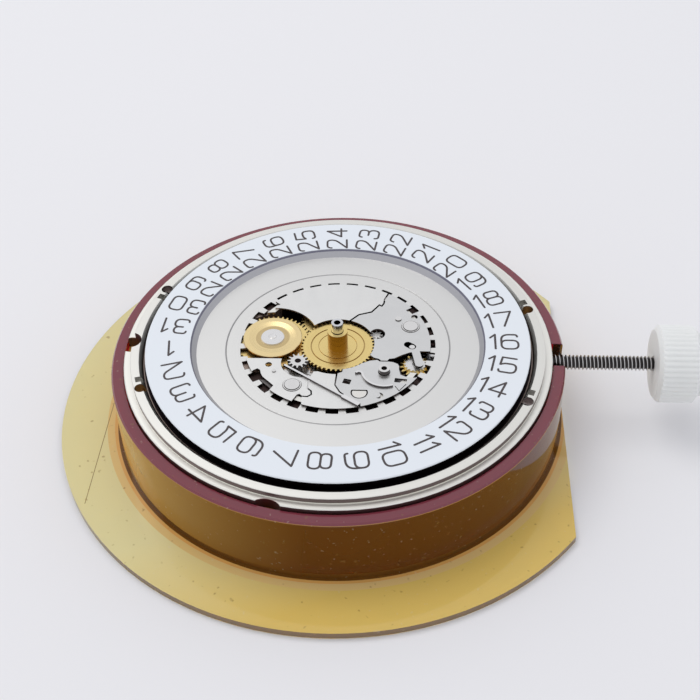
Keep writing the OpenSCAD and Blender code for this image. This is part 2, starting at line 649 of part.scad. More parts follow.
module cover_plate() color(nickel) plate_blank() difference() {
  intersection() {
    round_edge();
    polygon(sized([[0.42, -2], [0.38, -2.5], [0.12, -2.62], [0.04, -3.6], [0.33, -4.14], [0.88, -4.65],
                   [1.52, -5.18], [1.9, -7], [7, -7], [5.05, -2.75], [3.9, -1.9], [3.35, -1.6], [3.1, -1.55],
                   [2.55, -1.55], [2.4, -1.42], [1.95, -1.5], [1.2, -1.9]]));
  }
  circle(r = hour_opening_r + 0.1);
  translate(CORRECTOR) circle(r = 1.1);
  polygon(sized([[3.4, -1.5], [3.7, -1.75], [3.69, -2.2], [3.78, -2.66], [4.2, -2.88], [4.62, -2.9],
                 [5.02, -2.74], [4.65, -1.37]]));
  translate(POST) circle(r = post_r + 0.03);
  translate(k * [0.68, -3.3]) rotate(-15) square([0.46, 0.4], center = true);
  translate(k * [3.8, -3.16]) rotate(-7) square([0.72, 0.34], center = true);
  difference() {
    dot(2.58, -4.43, 0.24);
    dot(2.44, -4.38, 0.22);
  }
  // Half-round window over a pillar head
  translate(HEAD_C) intersection() {
    circle(r = 0.5);
    translate([-1, -1]) square([2, 1.22]);
  }
  // Seam round the pointed end of the lever spring
  for (q = [[[3.48, -3.62], [3.72, -4.02]], [[3.72, -4.02], [4.12, -3.45]]])
    translate(k * (q[0] + q[1]) / 2) rotate(azimuth(q[1] - q[0])) square([norm(q[1] - q[0]), 0.05], center = true);
}
spring_r = 1.3;
hook_r = 0.2;
module setting_spring() color([0.9, 0.9, 0.88]) at(POST, plates_z + plates_t) {
  rotate(192) rotate_extrude(angle = 101) translate([spring_r - 0.06, 0]) square([0.12, 0.12]);
  // Hooked end, curled away from the post
  translate(polar(spring_r + hook_r, 192)) rotate(10) rotate_extrude(angle = 142)
    translate([hook_r - 0.06, 0]) square([0.12, 0.12]);
}
wire_w = 0.13;
WIRE_FREE = k * [-3.05, -2.07];
WIRE_HELD = k * [1.5, -5.32];
module jumper_spring() color([0.9, 0.9, 0.88]) at(WIRE_FREE, plates_z + plates_t) {
  rotate(azimuth(WIRE_HELD - WIRE_FREE)) {
    translate([0, -wire_w / 2, 0]) cube([norm(WIRE_HELD - WIRE_FREE) - 1.2, wire_w, wire_w]);
    translate([norm(WIRE_HELD - WIRE_FREE) - 1.25, -wire_w, 0]) cube([1.2, 2 * wire_w, wire_w]);
  }
}

// Date jumper, under the left plate

JUMPER = HEAD_B;
jumper_tip_r = date_tip_r - 0.05;
jumper_z = ring_z + 0.01;
jumper_t = 0.12;
module date_jumper() color(steel) difference() {
  translate([0, 0, jumper_z]) linear_extrude(jumper_t) union() {
    translate(JUMPER) circle(r = 0.42);
    polygon([JUMPER + [-0.1, 0.4], polar(jumper_tip_r - 0.605, 219.5), polar(jumper_tip_r - 0.087, 216),
             polar(jumper_tip_r, 215),
             polar(jumper_tip_r, 217), polar(jumper_tip_r - 0.051, 227.1), JUMPER + [-0.3, -0.3]]);
  }
  disc(JUMPER, jumper_z - 1, stud_r + run_gap, 2);
}

// Date ring with its teeth inside

ring_teeth = 31;
// Turn of the teeth against the numerals
ring_turn = 2.2;
wall_r = 8.46;
function ring_tooth(a, half) = [
  polar(date_root_r, a - half - 0.01), polar(date_tip_r, a - half * 0.85),
  polar(date_tip_r, a + half * 0.85), polar(date_root_r, a + half + 0.01),
  polar(date_root_r, a + 180 / ring_teeth)];
module date_ring() color([0.88, 0.9, 0.91]) difference() {
  rotate_extrude($fn = 128) polygon([
    [date_tip_r - 0.3, ring_z], [wall_r + 0.1, ring_z], [wall_r + 0.44, ring_z + date_rise],
    [date_ring_r - 0.05, ring_z + date_rise], [date_ring_r, ring_z + date_rise + 0.05],
    [date_ring_r, ring_z + date_rise + date_sheet_t - 0.05],
    [date_ring_r - 0.05, ring_z + date_rise + date_sheet_t],
    [wall_r + 0.36, ring_z + date_rise + date_sheet_t], [wall_r, ring_z + date_sheet_t],
    [6.75, ring_z + date_sheet_t], [6.7, ring_z + date_sheet_t - 0.03],
    [6.65, ring_z + date_sheet_t], [date_tip_r - 0.3, ring_z + date_sheet_t]]);
  translate([0, 0, ring_z - 1]) linear_extrude(3) polygon([
    for (i = [0 : ring_teeth - 1])
      each ring_tooth((i + 0.5) * 360 / ring_teeth + ring_turn, asin(date_tooth_w / 2 / date_root_r))]);
}

// Motion work

pipe_top_z = level(3) + wheel_t + hour_pipe_h;
module cannon_pinion() color(steel) difference() {
  union() {
    gear(AXIS, level(1) - 0.02, cannon_leaves, motion_m, wheel_t + 0.04, 0, 0.85);
    disc(AXIS, level(1), 0.42, level(4) - level(1));
    // Neck inside the hour pipe, turned with a slight taper
    rotate_extrude() polygon([
      [0, level(3)], [cannon_neck_r + 0.005, level(3)],
      [cannon_neck_r - 0.005, pipe_top_z + 0.1], [0, pipe_top_z + 0.1]]);
    // Seat of the minute hand, above the pipe
    disc(AXIS, pipe_top_z + 0.03, cannon_r, cannon_rise - 0.03);
  }
  disc(AXIS, 0, centre_tube_r + run_gap, level(4) + 0.05);
  disc(AXIS, 0, 0.2, 20);
}
cannon_neck_r = 0.34;
module hour_wheel() color(gold) difference() {
  union() {
    gear(AXIS, level(2), hour_leaves, date_m, wheel_t, 0);
    disc(AXIS, level(2), 0.95, level(3) - level(2));
    gear(AXIS, level(3), hour_n, hour_m, wheel_t, hour_phase, 0.45);
    disc(AXIS, level(3), hour_pipe_r, wheel_t + hour_pipe_h);
  }
  disc(AXIS, 0, 0.42 + run_gap, level(4) + 0.05);
  disc(AXIS, 0, cannon_neck_r + run_gap, 20);
  // Rings turned in its face
  for (g = [[1.56, 0.08], [1.12, 0.05]]) at(AXIS, level(3) + wheel_t - 0.05) difference() {
    cylinder(r = g[0] + g[1], h = 1);
    translate([0, 0, -1]) cylinder(r = g[0], h = 3);
  }
}
module driving_wheel() color(gold) difference() {
  gear(AXIS, level(0), driving_n, driving_m, wheel_t, driving_phase);
  disc(AXIS, 0, 0.3, 20);
}
module minute_wheel() color(steel) difference() {
  union() {
    gear(MINUTE, level(1), minute_n, motion_m, wheel_t, minute_phase);
    gear(MINUTE, level(1) + wheel_t, 26, 0.075, 0.035, 0);
    disc(MINUTE, level(1) + wheel_t, 0.2 + run_gap, level(3) - level(1) - wheel_t);
    gear(MINUTE, level(3), minute_leaves, hour_m, plates_z - level(3), 0, 0.85);
  }
  disc(MINUTE, 0, 0.16 + run_gap, level(3) + wheel_t + 0.02);
}
module date_idler() color(gold) difference() {
  gear(IDLER, level(2), idler_n, date_m, wheel_t, idler_phase);
  disc(IDLER, 0, stud_r + run_gap, 20);
}
module date_wheel() color(gold) difference() {
  union() {
    gear(DATE, level(2), date_n, date_m, wheel_t + 0.05, date_phase);
    disc(DATE, level(2), 0.55, plates_z - level(2));
    // Finger that turns the ring once a day, clear of the teeth as built
    at(DATE, ring_z) rotate(azimuth(DATE) + 150) translate([0, -0.12, 0])
      cube([date_tip_r - norm(DATE) - 0.06, 0.24, date_sheet_t]);
  }
  disc(DATE, 0, stud_r + run_gap, level(3) + 0.14);
}
hub_r = 0.7;
dish = 0.06;
module date_drum() {
  // Dished between its rim and its hub
  color(gold) at(DATE, plates_z) rotate_extrude() polygon([
    [0, 0], [drum_r, 0], [drum_r, drum_t - 0.03], [drum_r - 0.03, drum_t], [1.42, drum_t],
    [1.08, drum_t - dish], [0, drum_t - dish]]);
  color(steel) at(DATE, plates_z + drum_t - dish - 0.02) rotate_extrude() polygon([
    [0, 0], [hub_r, 0], [hub_r, dish + 0.03], [hub_r - 0.04, dish + 0.06], [0.26, dish + 0.06],
    [0.22, dish + 0.02], [0.17, dish + 0.02], [0.15, dish + 0.1], [0, dish + 0.1]]);
}

// Barrel and mainspring

barrel_r = pitch_r(barrel_n, barrel_m) - 0.2;
module barrel_drum() color(gold) difference() {
  union() {
    gear(BARREL, barrel_z + 0.16, barrel_n, barrel_m, 0.15, barrel_phase);
    disc(BARREL, barrel_z + 0.1, barrel_r, barrel_h - 0.1);
  }
  disc(BARREL, barrel_z - 1, barrel_r - 0.2, barrel_h + 0.88);
  disc(BARREL, 0, 0.45 + run_gap, 20);
}
module barrel_lid() color(gold) difference() {
  disc(BARREL, barrel_z, barrel_r - 0.02, 0.1);
  disc(BARREL, 0, 0.45 + run_gap, 20);
}
module barrel_arbor() color(steel) difference() {
  union() {
    disc(BARREL, winding_z + 0.19, 0.45, web_z + 0.2 - winding_z - 0.19);
    disc(BARREL, winding_z, 0.32, 0.3);
    disc(BARREL, barrel_z + 0.13, 0.7, barrel_h - 0.28);
  }
}
coil_turns = 8;
coil_steps = 18;
function coil(r0, r1, off) = [
  for (i = [0 : coil_turns * coil_steps])
    polar(r0 + (r1 - r0) * i / (coil_turns * coil_steps) + off, i * 360 / coil_steps)];
function reversed(v) = [for (i = [len(v) - 1 : -1 : 0]) v[i]];
module mainspring() color(steel) at(BARREL, barrel_z + 0.16) linear_extrude(barrel_h - 0.34)
  polygon(concat(coil(0.76, barrel_r - 0.4, 0), reversed(coil(0.76, barrel_r - 0.4, 0.12))));

// Winding wheels on the bridges

module ratchet_wheel() color(steel) difference() {
  gear(BARREL, winding_z, ratchet_n, wind_m, 0.18, ratchet_phase, 0.65);
  disc(BARREL, 0, 0.33, 20);
}
crown_core_r = 0.6;
face_z = cavity_z + 0.06;
module crown_wheel() color(steel) union() {
  disc(CROWN, face_z, pitch_r(crown_n, winding_m) + 0.13, wheel_t);
  disc(CROWN, winding_z + 0.18, crown_core_r, face_z - winding_z - 0.18);
  for (i = [0 : crown_n - 1]) at(CROWN, face_z + wheel_t - 0.02) rotate(180 + i * 360 / crown_n)
    translate([pitch_r(crown_n, winding_m) - 0.14, -0.045, 0])
      cube([0.27, 0.09, stem_z - pitch_r(winding_n, winding_m) + 0.04 - face_z - wheel_t + 0.02]);
}
module transfer_wheel() color(steel)
  gear(CROWN, winding_z, transfer_n, wind_m, 0.18, 0, 0.65);
module ratchet_screw() color(steel) slot_head(BARREL, winding_z - 0.12, 0.75, 0.12, 30);
module crown_screw() color(steel) slot_head(CROWN, winding_z - 0.12, 0.65, 0.12, 75);
CLICK = BARREL + polar(4.35, 215);
CLICK_TIP = BARREL + polar(pitch_r(ratchet_n, wind_m) + 0.16, 230);
module click() color(steel) difference() {
  translate([0, 0, winding_z]) linear_extrude(0.18) union() {
    translate(CLICK) circle(r = 0.38);
    polygon([CLICK + [0.1, -0.36], CLICK_TIP + [-0.1, -0.16], CLICK_TIP, CLICK + [0.1, 0.36]]);
  }
  disc(CLICK, 0, stud_r + run_gap, 20);
}
module click_spring() color(steel) translate([0, 0, bridge_z - 0.15]) linear_extrude(0.15) union() {
  translate(CLICK + [-1.3, -1.6]) circle(r = 0.3);
  polygon([CLICK + [-1.25, -1.7], CLICK + [0.85, -0.78], CLICK + [0.85, -0.7], CLICK + [-1.35, -1.45]]);
}

// Going train

module second_wheel() difference() {
  union() {
    color(gold) gear(SECOND, second_z, second_n, second_m, wheel_t, second_phase);
    color(steel) gear(SECOND, second_z + wheel_t, second_leaves, second_m, 0.42, 0, 0.85);
    color(steel) arbor(SECOND, cavity_z, web_z, 0.16);
  }
  spokes(SECOND, second_z, wheel_t, 0.9, 1.9, 5);
}
module third_wheel() difference() {
  union() {
    color(steel) gear(THIRD, second_z - 0.02, third_leaves, second_m, wheel_t + 0.05, 0, 0.7);
    color(gold) gear(THIRD, escape_z, third_n, fourth_m, wheel_t, third_phase);
    color(steel) gear(THIRD, pocket_z, third_leaves, driving_m, level(3) - 0.03 - pocket_z, 0, 0.85);
    color(steel) disc(THIRD, cavity_z, 0.12, pocket_z - cavity_z);
    color(steel) disc(THIRD, cavity_z - 0.12, pivot_r, 0.2);
  }
  spokes(THIRD, escape_z, wheel_t, 0.7, 1.85, 5);
}
module fourth_wheel() difference() {
  union() {
    color(steel) gear(AXIS, escape_z - 0.02, fourth_leaves, fourth_m, wheel_t + 0.04, 0, 0.85);
    color(gold) gear(AXIS, fourth_z, fourth_n, escape_m, wheel_t, 0);
    color(steel) arbor(AXIS, cavity_z, web_z, 0.12);
    color(steel) disc(AXIS, web_z, 0.1, level(3) + hour_pipe_h - web_z);
  }
  spokes(AXIS, fourth_z, wheel_t, 0.6, 1.8, 5);
}
module escape_wheel() difference() {
  union() {
    color(steel) gear(ESCAPE, fourth_z - 0.02, escape_leaves, escape_m, wheel_t + 0.04, escape_phase, 0.85);
    color(steel) at(ESCAPE, escape_z) linear_extrude(wheel_t) polygon([
      for (i = [0 : escape_n - 1]) each [
        polar(escape_r * 0.84, i * 18), polar(escape_r * 0.84, i * 18 + 9),
        polar(escape_r, i * 18 + 12), polar(escape_r * 0.97, i * 18 + 15.5)]]);
    color(steel) arbor(ESCAPE, cavity_z, web_z, 0.1);
  }
  spokes(ESCAPE, escape_z, wheel_t, 0.4, 1.25, 4);
}
fork_turn = azimuth(BALANCE - ESCAPE);
fork_len = norm(BALANCE - PALLET) - 0.55;
module pallet_fork() {
  color(steel) at(PALLET, escape_z) rotate(fork_turn) linear_extrude(wheel_t) union() {
    circle(r = 0.22);
    polygon([[0, 0.12], [fork_len - 0.4, 0.08], [fork_len, 0.22], [fork_len, 0.1], [fork_len - 0.25, 0],
             [fork_len, -0.1], [fork_len, -0.22], [fork_len - 0.4, -0.08], [0, -0.12]]);
    for (s = [-1, 1]) polygon([[0.1, s * 0.25], [-0.2, s * 1.1], [-0.05, s * 1.2], [0.28, s * 0.1]]);
  }
  color(steel) arbor(PALLET, escape_z - 0.1, web_z, 0.1);
  color(ruby) for (s = [-1, 1]) at(PALLET, escape_z) rotate(fork_turn)
    translate([-0.26, s * 1.1 - 0.06, 0.02]) cube([0.12, 0.12, wheel_t - 0.04]);
}
module pallet_bridge() color(nickel) difference() {
  translate([0, 0, escape_z - 0.22]) linear_extrude(0.12) union() {
    translate(PALLET) circle(r = 0.55);
    polygon([PALLET + [0.3, 0.5], polar(7.0 * k, 192), polar(7.4 * k, 199), PALLET + [-0.4, 0.3]]);
    translate(polar(7.2 * k, 195.5)) circle(r = 0.5);
  }
  jewel_hole(PALLET, escape_z - 0.4);
}
module jewel_hole(p, z) { disc(p, z, pivot_r + run_gap, 1); }

// Balance

balance_z = escape_z - 0.2 - balance_h - 0.06;
module balance_wheel() color(gold) difference() {
  union() {
    difference() {
      disc(BALANCE, balance_z, balance_r, balance_h);
      disc(BALANCE, balance_z - 1, balance_r - 0.35, 3);
    }
    for (a = [0, 60, 120]) at(BALANCE, balance_z) rotate(a)
      translate([-balance_r + 0.1, -0.15, 0.04]) cube([2 * balance_r - 0.2, 0.3, 0.12]);
    disc(BALANCE, balance_z, 0.4, balance_h);
  }
  disc(BALANCE, 0, 0.18, 20);
}
module balance_staff() {
  color(steel) arbor(BALANCE, cavity_z, web_z, 0.18);
  color(steel) disc(BALANCE, escape_z, 0.3, 0.06);
  color(ruby) at(BALANCE, escape_z) rotate(fork_turn + 180) translate([0.22, 0, 0]) cylinder(r = 0.06, h = wheel_t, $fn = 24);
}
module hairspring() color([0.3, 0.35, 0.6]) at(BALANCE, cavity_z + 0.04) linear_extrude(0.08)
  polygon(concat(coil(0.22, 1.7, 0), reversed(coil(0.22, 1.7, 0.04))));

// Bridges

module back_blank(points) difference() {
  translate([0, 0, bridge_z]) linear_extrude(bridge_t) intersection() {
    circle(r = bridge_r, $fn = 128);
    polygon(sized(points));
  }
  for (p = screw_points) {
    disc(p, bridge_z - 0.1, screw_r + 0.02, 1);
    disc(p, bridge_z - 0.1, 0.45, 0.24);
  }
}
module balance_cock() color(nickel) difference() {
  back_blank([[-14, -1.2], [-6.2, -1.2], [-3.2, -3.4], [-3.0, -14], [-14, -14]]);
  cock_windows();
  jewel_seat(BALANCE, cavity_z - 0.16);
  disc(BALANCE, bridge_z - 0.1, 0.15, 1);
}
// Openings either side of the cock's arm, over the balance
module cock_windows() {
  at(BALANCE, bridge_z - 1) difference() {
    cylinder(r = balance_r - 0.5, h = 3);
    rotate(225) translate([-0.9, -0.75, -1]) cube([9, 1.5, 5]);
    translate([0, 0, -1]) cylinder(r = 1.1, h = 5);
  }
}
module train_bridge() color(nickel) difference() {
  back_blank([[-14, -1.1], [-6.15, -1.1], [-3.1, -3.3], [-1.0, -3.6], [2.1, -2.5], [5.9, -1.6],
              [6.9, 3.3], [14, 5.6], [14, 14], [-14, 14]]);
  for (p = [AXIS, THIRD, SECOND, ESCAPE]) {
    jewel_seat(p, cavity_z - 0.16);
    disc(p, bridge_z - 0.1, 0.15, 1);
  }
}
module barrel_bridge() color(nickel) difference() {
  back_blank([[-2.9, -14], [-3.05, -3.45], [-1.0, -3.7], [2.15, -2.6], [6.0, -1.68], [7.0, 3.2],
              [14, 5.45], [14, -14]]);
  disc(CROWN, bridge_z - 0.1, crown_core_r + run_gap, 2);
  disc(BARREL, bridge_z - 0.1, 0.45 + run_gap, 2);
}
module bridge_screws() color([0.3, 0.38, 0.6]) for (p = screw_points) {
  disc(p, bridge_z + 0.1, screw_r, 1);
  slot_head(p, bridge_z + 0.01, 0.42, 0.12, 40 * p[0]);
}
module jewels() color(ruby) {
  for (p = [AXIS, THIRD, SECOND, ESCAPE, BALANCE]) jewel(p, cavity_z - 0.16);
  for (p = [SECOND, ESCAPE, PALLET, BALANCE]) jewel(p, web_z);
}

// Automatic winding

bearing_r = 0.95;
module rotor() difference() {
  union() {
    color(steel) translate([0, 0, rotor_z]) linear_extrude(blade_t) intersection() {
      circle(r = rotor_r - 1.7, $fn = 128);
      polygon([[-20, -2], [20, -2], [20, 20], [-20, 20]]);
    }
    color([0.6, 0.58, 0.55]) translate([0, 0, rotor_z]) linear_extrude(weight_t) difference() {
      intersection() {
        circle(r = rotor_r, $fn = 128);
        translate([-20, -0.5]) square([40, 20]);
      }
      circle(r = rotor_r - 1.8, $fn = 128);
    }
    color(steel) disc(AXIS, rotor_z, 1.3, reverser_z - rotor_z);
    color(steel) gear(AXIS, reverser_z, rotor_n, auto_m, back_t, 0);
  }
  disc(AXIS, 0, bearing_r + run_gap, 20);
  for (s = [-1, 1]) at(AXIS, rotor_z - 1) linear_extrude(3) intersection() {
    circle(r = rotor_r - 2.6);
    difference() {
      rotate(90 - s * 38) translate([0, -3]) square([20, 6]);
      circle(r = 3.4);
    }
  }
}
module rotor_bearing() color(steel) {
  difference() {
    disc(AXIS, rotor_z + 0.03, bearing_r, winding_z - rotor_z - 0.03);
    at(AXIS, rotor_z) translate([-1, -0.08, -0.1]) cube([2, 0.16, 0.2]);
  }
}
AUTO_FOOT = k * [-4.6, 4.7];
module automatic_bridge() color(nickel) difference() {
  translate([0, 0, winding_z]) linear_extrude(bridge_z - winding_z) difference() {
    union() {
      circle(r = 2.1 * k);
      translate(REVERSER_A) circle(r = 0.9 * k);
      translate(REVERSER_B) circle(r = 0.75 * k);
      polygon(sized([[-0.5, 2], [-4.2, 5.2], [-5, 4.2], [-2, -0.3]]));
      translate(AUTO_FOOT) circle(r = 0.75 * k);
    }
    translate(REDUCTION) circle(r = pitch_r(reduction_leaves, wind_m) + 0.16);
    translate(BARREL) circle(r = pitch_r(ratchet_n, wind_m) + 0.22);
  }
  disc(AUTO_FOOT, winding_z - 0.1, 0.2, 1);
}
// Reverser wheels: the upper toothed disc turns with the rotor, the lower one drives the reduction wheel
module reverser(p, phase_low, phase_up) {
  gear(p, reduction_z, reverser_leaves, auto_m, back_t, phase_low, 0.7);
  disc(p, reverser_z + back_t, 0.3, reduction_z - reverser_z - back_t);
  gear(p, reverser_z, reverser_n, auto_m, back_t, phase_up);
}
module reverser_wheel_a() color(gold) reverser(REVERSER_A, reverser_low_a, reverser_up_a);
module reverser_wheel_b() color(gold) reverser(REVERSER_B, reverser_low_b, reverser_up_b);
module reduction_wheel() color(gold) union() {
  gear(REDUCTION, winding_z, reduction_leaves, wind_m, 0.18, reduction_phase, 0.65);
  disc(REDUCTION, reduction_z + back_t, 0.3, winding_z - reduction_z - back_t);
  gear(REDUCTION, reduction_z, reduction_n, auto_m, back_t, 0);
}

transport_holder();
setting_crown();
winding_stem();
winding_pinion();
sliding_pinion();
setting_lever();
yoke();
setting_wheel();
main_plate();
upper_date_plate();
right_date_plate();
left_date_plate();
lower_date_plate();
cover_plate();
plate_studs();
setting_spring();
jumper_spring();
date_jumper();
date_ring();
hour_wheel();
cannon_pinion();
driving_wheel();
minute_wheel();
intermediate_wheel();
relay_wheel();
corrector_wheel();
date_idler();
date_wheel();
date_drum();
barrel_drum();
barrel_lid();
barrel_arbor();
mainspring();
ratchet_wheel();
crown_wheel();
transfer_wheel();
ratchet_screw();
crown_screw();
click();
click_spring();
second_wheel();
third_wheel();
fourth_wheel();
escape_wheel();
pallet_fork();
pallet_bridge();
balance_wheel();
balance_staff();
hairspring();
balance_cock();
train_bridge();
barrel_bridge();
bridge_screws();
jewels();
rotor();
rotor_bearing();
automatic_bridge();
reverser_wheel_a();
reverser_wheel_b();
reduction_wheel();
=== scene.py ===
import math
import bmesh
import bpy
from mathutils import Matrix, Vector


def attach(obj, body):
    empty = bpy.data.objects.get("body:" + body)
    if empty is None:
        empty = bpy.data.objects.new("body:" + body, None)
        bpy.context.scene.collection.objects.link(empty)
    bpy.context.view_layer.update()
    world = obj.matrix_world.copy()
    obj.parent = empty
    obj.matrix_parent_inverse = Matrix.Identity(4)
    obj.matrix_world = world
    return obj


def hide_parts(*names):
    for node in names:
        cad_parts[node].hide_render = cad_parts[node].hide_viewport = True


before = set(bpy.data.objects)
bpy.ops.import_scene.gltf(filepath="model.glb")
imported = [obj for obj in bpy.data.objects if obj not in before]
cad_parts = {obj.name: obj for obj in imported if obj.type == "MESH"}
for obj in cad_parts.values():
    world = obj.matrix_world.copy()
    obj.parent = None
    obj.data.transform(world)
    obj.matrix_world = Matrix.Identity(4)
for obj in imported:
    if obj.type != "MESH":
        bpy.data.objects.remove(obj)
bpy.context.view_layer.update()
scene = bpy.context.scene
scene.view_settings.view_transform = "Standard"
MM = 0.001

# The table and the light
# A sheet of pale card in a bright room, under one wide soft lamp behind it and to the left. The
# camera looks down on it from the front, a little to the stem's side.
CAMERA_PLACE = (3.911, -57.918, 57.618)
camera_data = bpy.data.cameras.new("camera")
camera_data.sensor_width = 36.0
camera_data.lens = 66.92
camera_data.clip_start = 0.001
camera_data.clip_end = 5.0
camera = bpy.data.objects.new("camera", camera_data)
# The camera's own right, back and up
right = Vector((0.99906, 0.04019, -0.01630))
back = Vector((0.04072, -0.74000, 0.67138))
up = back.cross(right)
camera_rows = [(right[i], up[i], back[i], CAMERA_PLACE[i] * MM) for i in range(3)]
camera.matrix_world = Matrix((*camera_rows, (0, 0, 0, 1)))
scene.collection.objects.link(camera)
scene.camera = camera

lamp = bpy.data.lights.new("window", "AREA")
lamp.shape = "DISK"
lamp.size = 0.27
lamp.energy = 0.38
lamp.color = (1.0, 0.985, 0.96)
window = bpy.data.objects.new("window", lamp)
window.location = (-0.150, 0.105, 0.360)
window.rotation_euler = (-window.location).to_track_quat("-Z", "Y").to_euler()
scene.collection.objects.link(window)

ROOM = (0.799, 0.807, 0.847)
world = bpy.data.worlds.new("room")
scene.world = world
world.use_nodes = True
world.node_tree.nodes["Background"].inputs["Color"].default_value = (*ROOM, 1)
world.node_tree.nodes["Background"].inputs["Strength"].default_value = 1.0


def new_material(name, color, metallic, roughness):
    material = bpy.data.materials.new(name)
    material.use_nodes = True
    shader = material.node_tree.nodes["Principled BSDF"]
    shader.inputs["Base Color"].default_value = (*color, 1.0)
    shader.inputs["Metallic"].default_value = metallic
    shader.inputs["Roughness"].default_value = roughness
    material.diffuse_color = (*color, 1.0)
    return material, material.node_tree, shader


def feed(tree, socket, value):
    # A value comes from another node, or is a colour or a number
    if isinstance(value, bpy.types.NodeSocket):
        tree.links.new(value, socket)
    elif socket.type == "RGBA":
        socket.default_value = (*value, 1.0)
    else:
        socket.default_value = value


def grain(tree, where, scale, detail=2.0):
    noise = tree.nodes.new("ShaderNodeTexNoise")
    noise.inputs["Detail"].default_value = detail
    feed(tree, noise.inputs["Scale"], scale)
    if where is not None:
        feed(tree, noise.inputs["Vector"], where)
    return noise.outputs["Fac"]


def mixed(tree, first, second, mask):
    blend = tree.nodes.new("ShaderNodeMix")
    blend.data_type = "RGBA"
    feed(tree, blend.inputs["A"], first)
    feed(tree, blend.inputs["B"], second)
    feed(tree, blend.inputs["Factor"], mask)
    return blend.outputs["Result"]


CARD = (0.815, 0.812, 0.824)
CARD_UNEVENNESS = 0.02
TABLE_REACH = 2.0
TABLE_DROP = 2e-5
CORNERS = ((-1, -1), (1, -1), (1, 1), (-1, 1))
table_corners = [(x * TABLE_REACH, y * TABLE_REACH, -TABLE_DROP) for x, y in CORNERS]
floor_mesh = bpy.data.meshes.new("table")
floor_mesh.from_pydata(table_corners, [], [(0, 1, 2, 3)])
floor = bpy.data.objects.new("table", floor_mesh)
scene.collection.objects.link(floor)
card, tree, shader = new_material("card", CARD, 0.0, 0.7)
shader.inputs["Specular IOR Level"].default_value = 0.1
darker = tuple(part * (1 - CARD_UNEVENNESS) for part in CARD)
paler = tuple(part * (1 + CARD_UNEVENNESS) for part in CARD)
feed(tree, shader.inputs["Base Color"], mixed(tree, darker, paler, grain(tree, None, 6.0)))
floor_mesh.materials.append(card)


# Transport holder
# A thin amber cup with a flat flange, moulded from clear plastic, handled and a little
# scratched. The movement sits on a shoulder inside its rim.
def dress(material, *nodes):
    for node in nodes:
        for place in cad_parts[node].material_slots:
            place.material = material


def effect_group(name, inputs, outputs):
    group = bpy.data.node_groups.new(name, "ShaderNodeTree")
    for kind, label, value in inputs:
        made = group.interface.new_socket(label, in_out="INPUT", socket_type=kind)
        made.default_value = value
    for kind, label in outputs:
        group.interface.new_socket(label, in_out="OUTPUT", socket_type=kind)
    return group, group.nodes.new("NodeGroupInput"), group.nodes.new("NodeGroupOutput")


def place_group(tree, group, **values):
    node = tree.nodes.new("ShaderNodeGroup")
    node.node_tree = group
    for label, value in values.items():
        node.inputs[label.replace("_", " ")].default_value = value
    return node


def object_place(tree):
    return tree.nodes.new("ShaderNodeTexCoord").outputs["Object"]


def parts_of(tree, vector):
    split = tree.nodes.new("ShaderNodeSeparateXYZ")
    tree.links.new(vector, split.inputs[0])
    return split.outputs


def worked_out(tree, operation, *values):
    step = tree.nodes.new("ShaderNodeMath")
    step.operation = operation
    for socket, value in zip(step.inputs, values):
        feed(tree, socket, value)
    return step.outputs["Value"]


def worked_vector(tree, operation, *values):
    step = tree.nodes.new("ShaderNodeVectorMath")
    step.operation = operation
    for socket, value in zip(step.inputs, values):
        feed(tree, socket, value)
    return step.outputs["Value" if operation == "LENGTH" else "Vector"]


def graded(tree, value, low=0.0, high=1.0, to_low=0.0, to_high=1.0):
    step = tree.nodes.new("ShaderNodeMapRange")
    feed(tree, step.inputs["Value"], value)
    for label, bound in (("From Min", low), ("From Max", high), ("To Min", to_low), ("To Max", to_high)):
        feed(tree, step.inputs[label], bound)
    return step.outputs["Result"]


def stretched(tree, where, scale, turn=(0.0, 0.0, 0.0)):
    pull = tree.nodes.new("ShaderNodeMapping")
    pull.inputs["Scale"].default_value = scale
    pull.inputs["Rotation"].default_value = turn
    tree.links.new(where, pull.inputs["Vector"])
    return pull.outputs["Vector"]


def relief(tree, shader, height, strength, distance):
    bump = tree.nodes.new("ShaderNodeBump")
    bump.inputs["Strength"].default_value = strength
    bump.inputs["Distance"].default_value = distance
    tree.links.new(height, bump.inputs["Height"])
    tree.links.new(bump.outputs["Normal"], shader.inputs["Normal"])


def distance_from(tree, where, axis):
    # The height is left out, so that this is a radius
    away = worked_vector(tree, "SUBTRACT", where, axis)
    return worked_vector(tree, "LENGTH", worked_vector(tree, "MULTIPLY", away, (1.0, 1.0, 0.0)))


# A zone round an axis: one between two radii and two heights, nothing outside
zone_group, group_in, group_out = effect_group(
    "zone",
    [("NodeSocketVector", "Centre", (0.0, 0.0, 0.0)), ("NodeSocketFloat", "Radius", 0.0),
     ("NodeSocketFloat", "Half Width", 1.0), ("NodeSocketFloat", "Height", 0.0),
     ("NodeSocketFloat", "Half Height", 1.0)],
    [("NodeSocketFloat", "Inside")])
asked = group_in.outputs
where = object_place(zone_group)
far = distance_from(zone_group, where, asked["Centre"])
in_width = worked_out(zone_group, "COMPARE", far, asked["Radius"], asked["Half Width"])
high = parts_of(zone_group, where)["Z"]
in_height = worked_out(zone_group, "COMPARE", high, asked["Height"], asked["Half Height"])
feed(zone_group, group_out.inputs["Inside"], worked_out(zone_group, "MULTIPLY", in_width, in_height))

# Upright faces, such as the sides of teeth and the edges of sheets, which get a painted shade
sides_group, group_in, group_out = effect_group("upright_faces", [], [("NodeSocketFloat", "Side")])
facing = sides_group.nodes.new("ShaderNodeNewGeometry").outputs["True Normal"]
level = worked_out(sides_group, "ABSOLUTE", parts_of(sides_group, facing)["Z"])
feed(sides_group, group_out.inputs["Side"], graded(sides_group, level, 0.58, 0.42))

